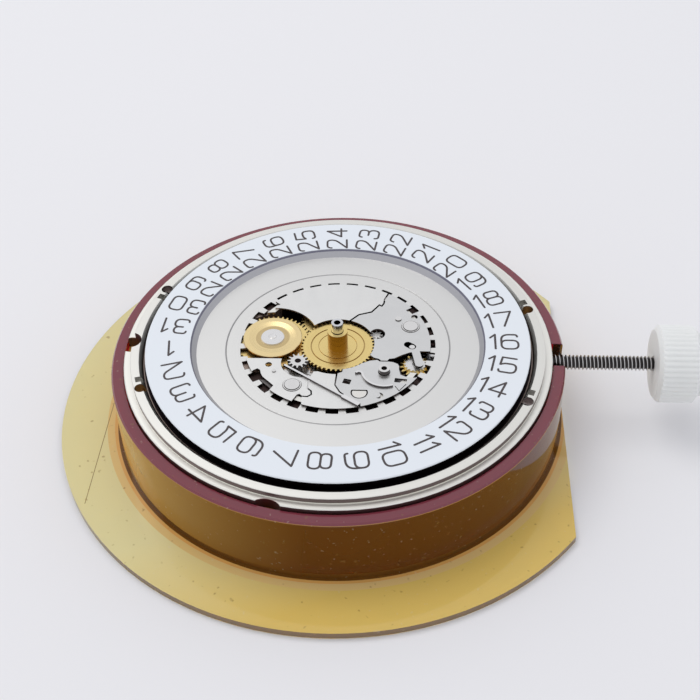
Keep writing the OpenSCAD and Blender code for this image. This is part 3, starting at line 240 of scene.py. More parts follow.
# Fine dust and short scratches, as two masks
scuffs, group_in, group_out = effect_group(
    "dust_and_scratches",
    [("NodeSocketFloat", "Speck Scale", 1500.0), ("NodeSocketFloat", "Speck Amount", 0.5),
     ("NodeSocketFloat", "Scratch Scale", 160.0)],
    [("NodeSocketFloat", "Specks"), ("NodeSocketFloat", "Scratches")])
asked = group_in.outputs
where = object_place(scuffs)
specks = graded(scuffs, grain(scuffs, where, asked["Speck Scale"], 1.0), 0.70, 0.78)
feed(scuffs, group_out.inputs["Specks"], worked_out(scuffs, "MULTIPLY", specks, asked["Speck Amount"]))
along_hairs = stretched(scuffs, where, (1.0, 0.06, 1.0), (0.0, 0.0, 0.5))
hairs = graded(scuffs, grain(scuffs, along_hairs, asked["Scratch Scale"], 3.0), 0.60, 0.72)
feed(scuffs, group_out.inputs["Scratches"], hairs)


def zone_mask(tree, inner_r, outer_r, low, high, axis=(0.0, 0.0)):
    node = place_group(tree, zone_group, Centre=(axis[0] * MM, axis[1] * MM, 0.0),
                       Radius=(inner_r + outer_r) / 2 * MM, Half_Width=(outer_r - inner_r) / 2 * MM,
                       Height=(low + high) / 2 * MM, Half_Height=(high - low) / 2 * MM)
    return node.outputs["Inside"]


def color_zones(tree, shader, base, zones, side=None):
    # Each zone is a colour, two radii, two heights and, where it isn't the hands' axis, its own
    tone = base
    # Upright faces take the side colour: a painted shade
    if side:
        tone = mixed(tree, tone, side, place_group(tree, sides_group).outputs["Side"])
    for zone_color, *bounds in zones:
        tone = mixed(tree, tone, zone_color, zone_mask(tree, *bounds))
    if not isinstance(tone, tuple):
        feed(tree, shader.inputs["Base Color"], tone)
    return tone


AMBER_PER_METRE = 620.0
RIM_GLOSS_FROM = 4.80
RIM_GLOSS_FULL = 4.86
COLORED_HEIGHT = 5.0
amber, tree, shader = new_material("amber_plastic", (0.98, 0.95, 0.88), 0.0, 0.08)
shader.inputs["Transmission Weight"].default_value = 0.38
shader.inputs["IOR"].default_value = 1.42
shader.inputs["Coat Roughness"].default_value = 0.12
depth = tree.nodes.new("ShaderNodeVolumeAbsorption")
depth.inputs["Color"].default_value = (0.95, 0.8125, 0.0, 1)
depth.inputs["Density"].default_value = AMBER_PER_METRE
tree.links.new(depth.outputs["Volume"], tree.nodes["Material Output"].inputs["Volume"])
worn = place_group(tree, scuffs, Speck_Scale=3800.0, Speck_Amount=0.18, Scratch_Scale=260.0).outputs
feed(tree, shader.inputs["Roughness"], graded(tree, worn["Scratches"], to_low=0.06, to_high=0.22))
cup = parts_of(tree, object_place(tree))
# The top of the rim is glossier than the rest
feed(tree, shader.inputs["Coat Weight"], graded(tree, cup["Z"], RIM_GLOSS_FROM * MM,
                                                 RIM_GLOSS_FULL * MM, to_high=0.55))
# From the pale flange through the amber wall to the red rim: a height and the colour there
HEIGHT_COLORS = ((0.47, (1.0, 0.92, 0.50)), (0.50, (0.90, 0.54, 0.10)),
                 (4.79, (0.84, 0.47, 0.07)), (4.86, (0.27, 0.045, 0.07)))
by_height = tree.nodes.new("ShaderNodeValToRGB")
stops = by_height.color_ramp.elements
for height, color in HEIGHT_COLORS:
    stops.new(height / COLORED_HEIGHT).color = (*color, 1)
# A new ramp's own black and white stops, at its two ends, are taken away
stops.remove(stops[0])
stops.remove(stops[-1])
feed(tree, by_height.inputs["Fac"], graded(tree, cup["Z"], 0.0, COLORED_HEIGHT * MM))
# Painted shade: toward the front and the right, where less light crosses, the wall is painted
# darker and the flange more orange instead of yellow
WALL_SHADE = (0.165, 0.042, 0.0)
WALL_BOUNDS = (12.0, 13.75, 0.46, 4.80)
FLANGE_SHADE = (1.0, 0.72, 0.17)
FLANGE_BOUNDS = (14.4, 18.0, -0.1, 0.47)
toward = worked_out(tree, "MULTIPLY_ADD", cup["X"], 0.5, worked_out(tree, "MULTIPLY", cup["Y"], -1.0))
amber_tone = by_height.outputs["Color"]
for color, start, full, most, bounds in (
        (WALL_SHADE, -2.5, 13.0, 1.0, WALL_BOUNDS),
        (FLANGE_SHADE, 6.0, 15.0, 0.9, FLANGE_BOUNDS)):
    shade = graded(tree, toward, start * MM, full * MM, to_high=most)
    only = worked_out(tree, "MULTIPLY", shade, zone_mask(tree, *bounds))
    amber_tone = mixed(tree, amber_tone, color, only)
STEM_SLOT = (13.2, 0.0)
HOLDER_ZONES = (
    # Painted light: a glow on the flange along the foot of the wall; and the dark corner above it
    ((1.0, 0.55, 0.16), 13.58, 13.95, 0.30, 0.47),
    ((1.0, 0.72, 0.30), 13.95, 14.4, 0.30, 0.47),
    ((0.20, 0.08, 0.01), 13.4, 13.75, 0.44, 0.80),
    # The flange's outer edge, the rim's inner wall, and painted shade in the slot for the stem
    ((0.30, 0.22, 0.14), 15.0, 17.4, 0.02, 0.43),
    ((0.85, 0.03, 0.05), 12.80, 13.02, 4.50, 4.93),
    ((0.05, 0.02, 0.01), 0.0, 1.0, 4.0, 4.9, STEM_SLOT))
amber_tone = color_zones(tree, shader, amber_tone, HOLDER_ZONES)
# One long scratch along the flange's left side
SCRATCH_LEAN = -0.0309
SCRATCH_X = -14.176
SCRATCH_HALF_WIDTH = 0.022
SCRATCH_MIDDLE_Y = -4.34
SCRATCH_HALF_LENGTH = 4.21
slant = worked_out(tree, "MULTIPLY_ADD", cup["Y"], SCRATCH_LEAN, cup["X"])
on_line = worked_out(tree, "COMPARE", slant, SCRATCH_X * MM, SCRATCH_HALF_WIDTH * MM)
on_length = worked_out(tree, "COMPARE", cup["Y"], SCRATCH_MIDDLE_Y * MM, SCRATCH_HALF_LENGTH * MM)
scratched = worked_out(tree, "MULTIPLY", on_line, on_length)
amber_tone = mixed(tree, amber_tone, (0.35, 0.25, 0.10), scratched)
grit = place_group(tree, scuffs, Speck_Scale=2400.0, Speck_Amount=0.5, Scratch_Scale=200.0).outputs
amber_tone = mixed(tree, amber_tone, (0.30, 0.17, 0.05), grit["Specks"])
amber_tone = mixed(tree, amber_tone, (0.92, 0.84, 0.66), worn["Specks"])
feed(tree, shader.inputs["Base Color"], amber_tone)
relief(tree, shader, worn["Scratches"], 0.12, 0.03 * MM)
dress(amber, "transport_holder")

# Handling crown
# A moulded white knob with fine flutes, screwed on the stem so that it can be turned and
# pulled before the case's own crown is fitted.
WHITE = (0.77, 0.78, 0.765)
GRIME = (0.68, 0.69, 0.665)
white, tree, shader = new_material("white_plastic", WHITE, 0.0, 0.42)
shader.inputs["Subsurface Weight"].default_value = 0.55
shader.inputs["Subsurface Radius"].default_value = (MM, MM, MM)
shader.inputs["Subsurface Scale"].default_value = 1.0
touched = place_group(tree, scuffs, Speck_Scale=3500.0, Speck_Amount=0.4, Scratch_Scale=500.0).outputs
feed(tree, shader.inputs["Base Color"], mixed(tree, WHITE, GRIME, touched["Specks"]))
relief(tree, shader, touched["Scratches"], 0.08, 0.03 * MM)
dress(white, "setting_crown")


# Winding stem
# One turned steel rod: a square for the clutch, a groove for the setting lever, and a long
# thread outside the movement, cut to length when the watch is cased.
def link_mesh(name, mesh_work, material):
    mesh = bpy.data.meshes.new(name)
    mesh_work.to_mesh(mesh)
    mesh_work.free()
    mesh.materials.append(material)
    piece = bpy.data.objects.new(name, mesh)
    scene.collection.objects.link(piece)
    return piece


STEM_HEIGHT = 4.35
THREAD_START = 12.64
THREAD_END = 20.3
THREAD_PITCH = 0.225
THREAD_CREST = 0.45
THREAD_ROOT = 0.335
THREAD_ROOT_SHADE = (0.045, 0.040, 0.040)
THREAD_CREST_HIGHLIGHT = (0.62, 0.61, 0.60)
SHADE_BELOW = 0.36
HIGHLIGHT_ABOVE = 0.44
dark_steel, tree, shader = new_material("stem_steel", (0.36, 0.36, 0.37), 1.0, 0.30)
where = object_place(tree)
feed(tree, shader.inputs["Roughness"], graded(tree, grain(tree, where, 9000.0), to_low=0.22, to_high=0.45))
off_axis = worked_vector(tree, "MULTIPLY_ADD", where, (0.0, 1.0, 1.0), (0.0, 0.0, -STEM_HEIGHT * MM))
# Painted shade in the roots of the thread and a painted highlight on its crests
crest = graded(tree, worked_vector(tree, "LENGTH", off_axis), SHADE_BELOW * MM, HIGHLIGHT_ABOVE * MM)
feed(tree, shader.inputs["Base Color"], mixed(tree, THREAD_ROOT_SHADE, THREAD_CREST_HIGHLIGHT, crest))

STEM_TIP = 5.9
SQUARE_END = 7.7
SQUARE_HALF = 0.28
SQUARE_CORNER = 0.36
ROD_START = 7.72
ROD_RADIUS = 0.42
GROOVE_START = 9.2
GROOVE_END = 9.65
GROOVE_RADIUS = 0.25
# The part before the thread: how far along it, and its radius there
STEM_RINGS = ((STEM_TIP, SQUARE_CORNER), (SQUARE_END, SQUARE_CORNER),
              (ROD_START, ROD_RADIUS), (GROOVE_START, ROD_RADIUS),
              (GROOVE_START, GROOVE_RADIUS), (GROOVE_END, GROOVE_RADIUS),
              (GROOVE_END, THREAD_CREST), (THREAD_START, THREAD_CREST))
# One turn of the thread: the share of a pitch, and the radius there
THREAD_PROFILE = ((0.0, THREAD_ROOT), (0.3, THREAD_ROOT), (0.5, THREAD_CREST), (0.7, THREAD_CREST))
AROUND = 24
stem_work = bmesh.new()


def stem_point(along, radius, turn):
    return stem_work.verts.new((along * MM, radius * math.cos(turn) * MM,
                                (STEM_HEIGHT + radius * math.sin(turn)) * MM))


around = [2 * math.pi * i / AROUND for i in range(AROUND)]
rows = []
for along, radius in STEM_RINGS:
    reaches = [radius] * AROUND
    if along <= SQUARE_END:
        reaches = [min(SQUARE_HALF / max(abs(math.cos(turn)), abs(math.sin(turn))), SQUARE_CORNER)
                   for turn in around]
    rows.append([stem_point(along, reach, turn) for reach, turn in zip(reaches, around)])
for k in range(int((THREAD_END - THREAD_START) / THREAD_PITCH)):
    for share, radius in THREAD_PROFILE:
        rows.append([stem_point(THREAD_START + (k + share + i / AROUND) * THREAD_PITCH, radius, turn)
                     for i, turn in enumerate(around)])
first_thread_row = len(STEM_RINGS)
for k in range(len(rows) - 1):
    # The thread's last column is left open here, and joined a pitch further on below
    columns = AROUND - 1 if k >= first_thread_row else AROUND
    for i in range(columns):
        j = (i + 1) % AROUND
        stem_work.faces.new((rows[k][i], rows[k][j], rows[k + 1][j], rows[k + 1][i]))
one_turn = len(THREAD_PROFILE)
for k in range(first_thread_row, len(rows) - one_turn - 1):
    further = k + one_turn
    stem_work.faces.new((rows[k][-1], rows[further][0], rows[further + 1][0], rows[k + 1][-1]))
stem_work.faces.new(tuple(reversed(rows[0])))
stem_work.faces.new(tuple(rows[-1]))
bmesh.ops.recalc_face_normals(stem_work, faces=stem_work.faces)
stem = link_mesh("threaded_stem", stem_work, dark_steel)
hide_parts("winding_stem")
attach(stem, "stem")

# Main plate
# A nickel-plated brass disc, turned on a lathe: a low outer ledge, the raised seat for the
# dial, and a recess in the middle for the motion work.

# Turning marks: fine rings round an axis, as a gloss, a height and the radius itself
turning, group_in, group_out = effect_group(
    "turning_marks",
    [("NodeSocketVector", "Centre", (0.0, 0.0, 0.0)), ("NodeSocketFloat", "Fineness", 9000.0),
     ("NodeSocketFloat", "Low", 0.25), ("NodeSocketFloat", "High", 0.40)],
    [("NodeSocketFloat", "Gloss"), ("NodeSocketFloat", "Height"), ("NodeSocketFloat", "Radius")])
asked = group_in.outputs
radius = distance_from(turning, object_place(turning), asked["Centre"])
rings = turning.nodes.new("ShaderNodeTexNoise")
rings.noise_dimensions = "1D"
rings.inputs["Detail"].default_value = 2.0
feed(turning, rings.inputs["W"], radius)
feed(turning, rings.inputs["Scale"], asked["Fineness"])
gloss = graded(turning, rings.outputs["Fac"], to_low=asked["Low"], to_high=asked["High"])
feed(turning, group_out.inputs["Gloss"], gloss)
feed(turning, group_out.inputs["Height"], rings.outputs["Fac"])
feed(turning, group_out.inputs["Radius"], radius)


def turned_metal(name, color, smooth, rough, axis=(0.0, 0.0), fineness=9000.0, strength=0.12,
                 side=None, zones=()):
    made, tree, shader = new_material(name, color, 1.0, 0.3)
    color_zones(tree, shader, color, zones, side)
    marks = place_group(tree, turning, Centre=(axis[0] * MM, axis[1] * MM, 0.0),
                        Fineness=fineness, Low=smooth, High=rough).outputs
    feed(tree, shader.inputs["Roughness"], marks["Gloss"])
    relief(tree, shader, marks["Height"], strength, 0.012 * MM)
    return made


NICKEL = (0.775, 0.765, 0.715)
FOOT_HOLE_AMBER_LIGHT = (0.66, 0.51, 0.31)
OPENING = (0.64, 0.63, 0.60)
PIVOT_SHADE = (0.02, 0.014, 0.014)
MINUTE_AXIS = (-2.300, -1.471)
DATE_AXIS = (-3.951, 0.478)
FOOT_HOLE_AXES = ((11.523, 3.348), (-11.262, -4.144))
OPENING_AXES = ((11.28, 3.99), (-11.47, -3.42), (11.28, -3.99), (-11.24, 4.11))
PLATE_ZONES = (
    # Painted shade in the recess in the middle, in the gap round the date ring and on the seat's inner wall;
    # and the ledge
    ((0.045, 0.030, 0.028), 0.0, 5.94, 4.0, 5.46),
    ((0.012, 0.008, 0.010), 10.8, 11.56, 5.2, 5.74),
    ((0.24, 0.19, 0.165), 11.56, 11.70, 5.2, 5.46),
    ((0.84, 0.83, 0.77), 12.36, 12.85, 5.2, 5.3),
    # Painted amber light in the holes for the dial's feet, where the holder shows through, painted shade on
    # the ring round the date drum, and the openings in the rim
    *((FOOT_HOLE_AMBER_LIGHT, 0.0, 0.36, 4.3, 5.60, axis) for axis in FOOT_HOLE_AXES),
    ((0.36, 0.29, 0.25), 2.2, 2.9, 4.4, 5.47, DATE_AXIS),
    *((OPENING, 0.0, 0.34, 4.9, 5.60, axis) for axis in OPENING_AXES),
    # Painted shade in the pivot hole of the minute wheel's stud
    (PIVOT_SHADE, 0.0, 0.17, 5.0, 6.0, MINUTE_AXIS))
# Its upright faces get a painted shade
plate_metal = turned_metal("turned_nickel", NICKEL, 0.34, 0.50, side=(0.17, 0.13, 0.125), zones=PLATE_ZONES)
dress(plate_metal, "main_plate")


# Screws and studs of the dial side
# Small turned steel parts pressed or screwed in the plate: studs for wheels and levers, the
# clamp screws of the dial's feet and the post of the setting train.
def fine_metal(name, color, smooth, rough, grain_scale=5000.0, stretch=(1.0, 0.08, 1.0), strength=0.1,
               side=None, zones=()):
    made, tree, shader = new_material(name, color, 1.0, 0.3)
    color_zones(tree, shader, color, zones, side)
    fibre = grain(tree, stretched(tree, object_place(tree), stretch), grain_scale, 3.0)
    feed(tree, shader.inputs["Roughness"], graded(tree, fibre, to_low=smooth, to_high=rough))
    relief(tree, shader, fibre, strength, 0.01 * MM)
    return made


steel = fine_metal("satin_steel", (0.60, 0.60, 0.61), 0.18, 0.34)
# A painted shade for upright steel faces, used also in two rings round the heads
STEEL_SIDE_SHADE = (0.10, 0.09, 0.088)
HEAD_A = (4.35, 1.62)
HEAD_B = (-2.48, -3.65)
HEAD_C = (1.43, -4.20)
STUD_ZONES = (
    # Painted shade in rings round two of the heads, and the paler face of the third
    (STEEL_SIDE_SHADE, 0.44, 0.475, 5.4, 6.0, HEAD_A),
    (STEEL_SIDE_SHADE, 0.44, 0.475, 5.4, 6.0, HEAD_B),
    ((0.86, 0.84, 0.78), 0.0, 0.40, 5.4, 6.0, HEAD_C))
bright_steel = fine_metal("bright_steel", (0.79, 0.78, 0.755), 0.16, 0.30, side=STEEL_SIDE_SHADE, zones=STUD_ZONES)
dress(bright_steel, "plate_studs")

# Date plates
# Thin nickel-plated sheets, stamped and rolled flat, that hold the date ring and the wheels
# down. Their grain runs one way, and screws through them go into the main plate.
# A painted shade for the sheets' upright edges
SHEET_EDGE_SHADE = (0.065, 0.048, 0.045)
SHEET_ZONES = (
    # Painted shade on the edges round two screw heads and on the edges round the date drum
    (SHEET_EDGE_SHADE, 0.525, 0.565, 5.4, 5.7, HEAD_A),
    (SHEET_EDGE_SHADE, 0.525, 0.565, 5.4, 5.7, HEAD_B),
    ((0.40, 0.32, 0.27), 2.2, 2.9, 5.0, 5.59, DATE_AXIS))
sheet_metal = fine_metal("plated_sheet", (0.76, 0.757, 0.735), 0.30, 0.46, 2600.0, (1.0, 0.35, 1.0),
                         0.12, SHEET_EDGE_SHADE, SHEET_ZONES)
dress(sheet_metal, "upper_date_plate", "left_date_plate", "lower_date_plate")
grey_sheet = fine_metal("grey_plated_sheet", (0.70, 0.70, 0.685), 0.24, 0.38, 2600.0, (0.35, 1.0, 1.0),
                        0.12, SHEET_EDGE_SHADE, SHEET_ZONES)
dress(grey_sheet, "right_date_plate", "cover_plate")

# Springs of the dial side
# Bright hardened wire, bent and flattened where it is held.
# Its upright sides get a painted shadow, where the wire stands above the plate
spring_wire = fine_metal("spring_wire", (0.88, 0.87, 0.85), 0.10, 0.20, 8000.0, side=(0.09, 0.08, 0.08))
dress(spring_wire, "setting_spring", "jumper_spring")

# Date jumper
# A stamped steel lever, coloured dark, that drops between the teeth of the date ring.
dark_lever = fine_metal("dark_lever", (0.17, 0.155, 0.15), 0.2, 0.5, 2500.0, (1.0, 0.05, 1.0), 0.3)
dress(dark_lever, "date_jumper")

# Date ring
# A pressed brass dish: silvered and brushed inside, with 31 teeth, and lacquered white
# outside, where the numerals are printed.
SILVER = (0.745, 0.74, 0.715)
LACQUER = (0.76, 0.80, 0.84)
LACQUER_FROM = 8.72
LACQUER_FULL = 8.80
RING_ZONES = (
    # Painted shade in a line turned in the disc, on the sloped wall and on its upper edge
    ((0.40, 0.395, 0.39), 6.655, 6.745, 5.3, 5.6),
    ((0.46, 0.46, 0.48), 8.46, 8.72, 5.475, 5.905),
    ((0.17, 0.17, 0.22), 8.72, 8.82, 5.475, 5.905),
    # Painted shade on the sides of the teeth and on the ring's outer edge
    ((0.09, 0.066, 0.062), 5.28, 5.86, 5.2, 5.465),
    ((0.24, 0.24, 0.27), 11.40, 11.6, 5.46, 5.60),
    ((0.012, 0.010, 0.014), 11.40, 11.6, 5.2, 5.47))
lacquered, tree, shader = new_material("silver_and_lacquer", SILVER, 1.0, 0.35)
marks = place_group(tree, turning, Centre=(0.0, 0.0, 0.0), Fineness=12000.0, Low=0.30, High=0.46).outputs
lacquer_edge = graded(tree, marks["Radius"], LACQUER_FROM * MM, LACQUER_FULL * MM)
color_zones(tree, shader, mixed(tree, SILVER, LACQUER, lacquer_edge), RING_ZONES)
feed(tree, shader.inputs["Metallic"], worked_out(tree, "SUBTRACT", 1.0, lacquer_edge))
feed(tree, shader.inputs["Roughness"], marks["Gloss"])
relief(tree, shader, marks["Height"], 0.08, 0.01 * MM)
dress(lacquered, "date_ring")

# Date numerals
# The days of the month, pad printed in near black on the lacquer, reading outwards.
STROKE = 0.125
PRINT_LOW = 5.915
PRINT_HIGH = 5.928
PRINT_LAYER = 0.002
DIGIT_HEIGHT = 1.26
DIGIT_GAP = 0.36
SINGLE_WIDTH = 1.2
PAIR_WIDTH = 0.84
TEENS_WIDTH = 1.0
ONE_WIDTH = 0.30
NUMERAL_RADIUS = 9.91
DAYS = 31
FRONT_DAY = 16
CURVE_STEPS = 8
SAME_SPOT = 1e-4
CLOSED_WITHIN = 0.02
MITRE_LIMIT = 0.45


def bend(*marks):
    # Marks are x, y and how far from the corner its curve begins
    path = [marks[0][:2]]
    last = len(marks) - 1
    for k in range(1, last):
        corner = Vector(marks[k][:2])
        inward = Vector(marks[k - 1][:2]) - corner
        outward = Vector(marks[k + 1][:2]) - corner
        room_before = inward.length * (1.0 if k == 1 else 0.5)
        room_after = outward.length * (1.0 if k == last - 1 else 0.5)
        reach = min(marks[k][2], room_before, room_after)
        start = corner + inward.normalized() * reach
        stop = corner + outward.normalized() * reach
        for i in range(CURVE_STEPS + 1):
            t = i / CURVE_STEPS
            spot = start * (1 - t) ** 2 + corner * 2 * t * (1 - t) + stop * t ** 2
            path.append((spot.x, spot.y))
    return path + [marks[-1][:2]]


def digit(sign, w):
    # w and h are the width and the height, b is the usual bend, m is how high the middle is
    h = DIGIT_HEIGHT
    b = 0.42 * w
    if sign == "0":
        return [bend((w / 2, h, 0), (w, h, b), (w, 0, b), (0, 0, b), (0, h, b), (w / 2, h, 0))]
    if sign == "1":
        return [[(0, 0.76 * h), (w, h)], [(w, h), (w, 0)]]
    if sign == "2":
        neck = bend((0.02 * w, 0.78 * h, 0), (0.02 * w, h, b), (w, h, b), (w, 0.58 * h, 0.3 * w), (0, 0, 0))
        return [neck, [(0, 0), (w, 0)]]
    if sign == "3":
        m = 0.54 * h
        top = bend((0.05 * w, 0.84 * h, 0), (0.05 * w, h, 0.3 * w), (0.95 * w, h, b),
                   (0.95 * w, m, 0.36 * w), (0.36 * w, m, 0))
        bowl = bend((0.36 * w, m, 0), (w, m, 0.38 * w), (w, 0, b), (0, 0, 0.34 * w), (0, 0.17 * h, 0))
        return [top, bowl]
    if sign == "4":
        bar = 0.28 * h
        return [[(0.72 * w, h), (0, bar)], [(0, bar), (w, bar)], [(0.72 * w, h), (0.72 * w, 0)]]
    if sign == "5":
        bowl = bend((0.05 * w, 0.50 * h, 0), (0.3 * w, 0.60 * h, 0.1), (w, 0.62 * h, 0.36 * w),
                    (w, 0, b), (0, 0, 0.34 * w), (0, 0.15 * h, 0))
        return [[(0.92 * w, h), (0.10 * w, h)], [(0.10 * w, h), (0.05 * w, 0.50 * h)], bowl]
    if sign in "69":
        bowl = bend((w / 2, 0.60 * h, 0), (w, 0.60 * h, 0.36 * w), (w, 0, b), (0, 0, b),
                    (0, 0.60 * h, 0.36 * w), (w / 2, 0.60 * h, 0))
        hook = bend((0, 0.34 * h, 0), (0, h, 0.55 * w), (0.95 * w, h, 0.3 * w), (0.95 * w, 0.86 * h, 0))
        if sign == "6":
            return [bowl, hook]
        return [[(w - x, h - y) for x, y in path] for path in (bowl, hook)]
    if sign == "7":
        return [[(0, h), (w, h)], [(w, h), (0.34 * w, 0)]]
    m = 0.53 * h
    n = 0.06 * w
    bowl = bend((w / 2, m, 0), (w, m, 0.34 * w), (w, 0, b), (0, 0, b), (0, m, 0.34 * w), (w / 2, m, 0))
    top = bend((w / 2, m, 0), (w - n, m, 0.34 * w), (w - n, h, b), (n, h, b), (n, m, 0.34 * w),
               (w / 2, m, 0))
    return [bowl, top]


def print_stroke(work, points, half, top):
    path = [points[0]]
    for spot in points[1:]:
        if math.dist(spot, path[-1]) > SAME_SPOT:
            path.append(spot)
    closed = math.dist(path[0], path[-1]) < CLOSED_WITHIN
    offsets = []
    last = len(path) - 1
    for i, spot in enumerate(path):
        before = path[i - 1] if i else (path[last - 1] if closed else spot)
        after = path[i + 1] if i < last else (path[1] if closed else spot)
        tangent = Vector((after[0] - before[0], after[1] - before[1])).normalized()
        reach = half
        if 0 < i < last:
            first = Vector((spot[0] - before[0], spot[1] - before[1])).normalized()
            second = Vector((after[0] - spot[0], after[1] - spot[1])).normalized()
            reach = half / max(MITRE_LIMIT, math.sqrt(max(0.0, (1 + first.dot(second)) / 2)))
        offsets.append((spot, Vector((-tangent.y, tangent.x)) * reach, tangent))
    lefts = [(spot[0] + aside.x, spot[1] + aside.y) for spot, aside, tangent in offsets]
    rights = [(spot[0] - aside.x, spot[1] - aside.y) for spot, aside, tangent in offsets]
    top_left, top_right, low_left, low_right = [
        [work.verts.new((x * MM, y * MM, z * MM)) for x, y in edge]
        for edge, z in ((lefts, top), (rights, top), (lefts, PRINT_LOW), (rights, PRINT_LOW))]
    for i in range(last):
        work.faces.new((top_left[i], top_right[i], top_right[i + 1], top_left[i + 1]))
        work.faces.new((low_left[i], top_left[i], top_left[i + 1], low_left[i + 1]))
        work.faces.new((top_right[i], low_right[i], low_right[i + 1], top_right[i + 1]))
    if closed:
        return
    # Half-round ends
    for end, way in ((0, -1), (last, 1)):
        spot, aside, tangent = offsets[end]
        rim = []
        for k in range(CURVE_STEPS + 1):
            turn = math.pi * k / CURVE_STEPS
            reach = aside * math.cos(turn) + tangent * way * half * math.sin(turn)
            rim.append(work.verts.new(((spot[0] + reach.x) * MM, (spot[1] + reach.y) * MM, top * MM)))
        work.faces.new(rim)


print_work = bmesh.new()
for day in range(1, DAYS + 1):
    turn = math.radians((day - FRONT_DAY) * 360 / DAYS)
    word = str(day)
    wide = SINGLE_WIDTH if day < 10 else TEENS_WIDTH if word[0] == "1" else PAIR_WIDTH
    widths = [ONE_WIDTH if letter == "1" else wide for letter in word]
    start = NUMERAL_RADIUS - (sum(widths) + DIGIT_GAP * (len(word) - 1)) / 2
    for letter, width in zip(word, widths):
        for layer, stroke in enumerate(digit(letter, width)):
            placed = []
            for x, y in stroke:
                along = start + x
                across = y - DIGIT_HEIGHT / 2
                placed.append((along * math.cos(turn) - across * math.sin(turn),
                               along * math.sin(turn) + across * math.cos(turn)))
            print_stroke(print_work, placed, STROKE / 2, PRINT_HIGH + PRINT_LAYER * layer)
        start += width + DIGIT_GAP
bmesh.ops.recalc_face_normals(print_work, faces=print_work.faces)
ink, tree, shader = new_material("numeral_ink", (0.035, 0.026, 0.026), 0.0, 0.5)
coverage = grain(tree, object_place(tree), 4000.0)
FULL_INK = (0.030, 0.022, 0.022)
THIN_INK = (0.075, 0.060, 0.060)
feed(tree, shader.inputs["Base Color"], mixed(tree, FULL_INK, THIN_INK, coverage))
numerals = link_mesh("date_numerals", print_work, ink)
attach(numerals, "date_ring")

# Hour wheel and driving wheel
# Gilt brass. The hour wheel has the tall pipe that takes the hour hand, and rings turned in
# its face; the driving wheel under it is pressed on the cannon pinion.
GILT = (0.86, 0.66, 0.27)
# A painted shade for upright gilt faces
GILT_SIDE_SHADE = (0.32, 0.17, 0.05)
HOUR_ZONES = (
    # Painted shade on the pipe, and in two rings turned in the face
    ((0.31, 0.16, 0.02), 0.0, 0.63, 5.43, 6.60),
    ((0.50, 0.34, 0.13), 1.55, 1.65, 5.3, 5.405),
    ((0.62, 0.45, 0.19), 1.11, 1.18, 5.3, 5.405))
hour_metal = turned_metal("gilt_hour_wheel", GILT, 0.16, 0.32, fineness=7000.0, strength=0.06,
                          side=GILT_SIDE_SHADE, zones=HOUR_ZONES)
dress(hour_metal, "hour_wheel")
dress(turned_metal("gilt_driving_wheel", (0.70, 0.50, 0.20), 0.2, 0.36, side=GILT_SIDE_SHADE), "driving_wheel")

# Cannon pinion
# A polished steel tube with teeth at its foot, that takes the minute hand.
CANNON_ZONES = (
    # Painted shade in the bore, and on the tube's foot above the hour pipe
    ((0.01, 0.01, 0.01), 0.0, 0.205, 4.0, 7.24),
    ((0.12, 0.11, 0.11), 0.2, 0.5, 6.5, 6.66))
dress(fine_metal("polished_steel", (0.74, 0.74, 0.75), 0.08, 0.18, zones=CANNON_ZONES), "cannon_pinion")

# Minute wheel
# Steel, with its own pinion on top that drives the hour wheel. It turns on a stud of the plate.
# Painted shade in the hole for its pivot, and on its upright faces
MINUTE_ZONES = ((PIVOT_SHADE, 0.0, 0.19, 5.40, 6.2, MINUTE_AXIS),)
minute_metal = fine_metal("steel_minute_wheel", (0.79, 0.78, 0.755), 0.16, 0.30, side=STEEL_SIDE_SHADE,
                          zones=MINUTE_ZONES)
dress(minute_metal, "minute_wheel")

# Setting wheels
# The small wheels between the stem, the minute wheel and the date, cut in gilt brass or steel.
dress(turned_metal("gilt_small_wheels", GILT, 0.22, 0.38, side=GILT_SIDE_SHADE), "date_idler")
# The intermediate and relay wheels, seen only through holes, are painted dark: painted shade
dress(fine_metal("shaded_steel_wheels", (0.13, 0.12, 0.12), 0.24, 0.40), "intermediate_wheel", "relay_wheel")
CORRECTOR_AXIS = (4.647, -1.368)
CORRECTOR_ZONES = (
    # The steel pinion, and the wheel's face round it
    ((0.78, 0.77, 0.75), 0.0, 0.66, 5.148, 5.5, CORRECTOR_AXIS),
    ((0.62, 0.42, 0.10), 0.66, 1.2, 5.148, 5.272, CORRECTOR_AXIS))
# Its upright faces get a painted shade
corrector_metal = turned_metal("gilt_and_steel_corrector", GILT, 0.20, 0.34, CORRECTOR_AXIS,
                               side=(0.46, 0.29, 0.06), zones=CORRECTOR_ZONES)
dress(corrector_metal, "corrector_wheel")
dress(steel, "setting_wheel")

# Date wheel and drum
# A gilt toothed wheel with a flat drum on top, turned and lightly dished, that carries the
# finger for the date.
DRUM_ZONES = (
    # Painted shade in a ring round the hub, the silvery hub, and painted shade in the line round its pivot
    ((0.64, 0.49, 0.25), 0.69, 1.02, 5.5, 5.7, DATE_AXIS),
    ((0.80, 0.79, 0.775), 0.0, 0.705, 5.5, 5.8, DATE_AXIS),
    ((0.42, 0.41, 0.41), 0.165, 0.24, 5.5, 5.595, DATE_AXIS))
dress(turned_metal("gilt_date_wheel", GILT, 0.20, 0.36, DATE_AXIS, side=GILT_SIDE_SHADE), "date_wheel")
# The drum's upright faces get a painted shade
drum_metal = turned_metal("gilt_date_drum", (0.87, 0.69, 0.36), 0.20, 0.36, DATE_AXIS, 6000.0,
                          side=(0.55, 0.27, 0.07), zones=DRUM_ZONES)
dress(drum_metal, "date_drum")

# Keyless work
# Steel pinions on the stem and the two levers that shift them.
dress(steel, "winding_pinion", "sliding_pinion", "setting_lever", "yoke")

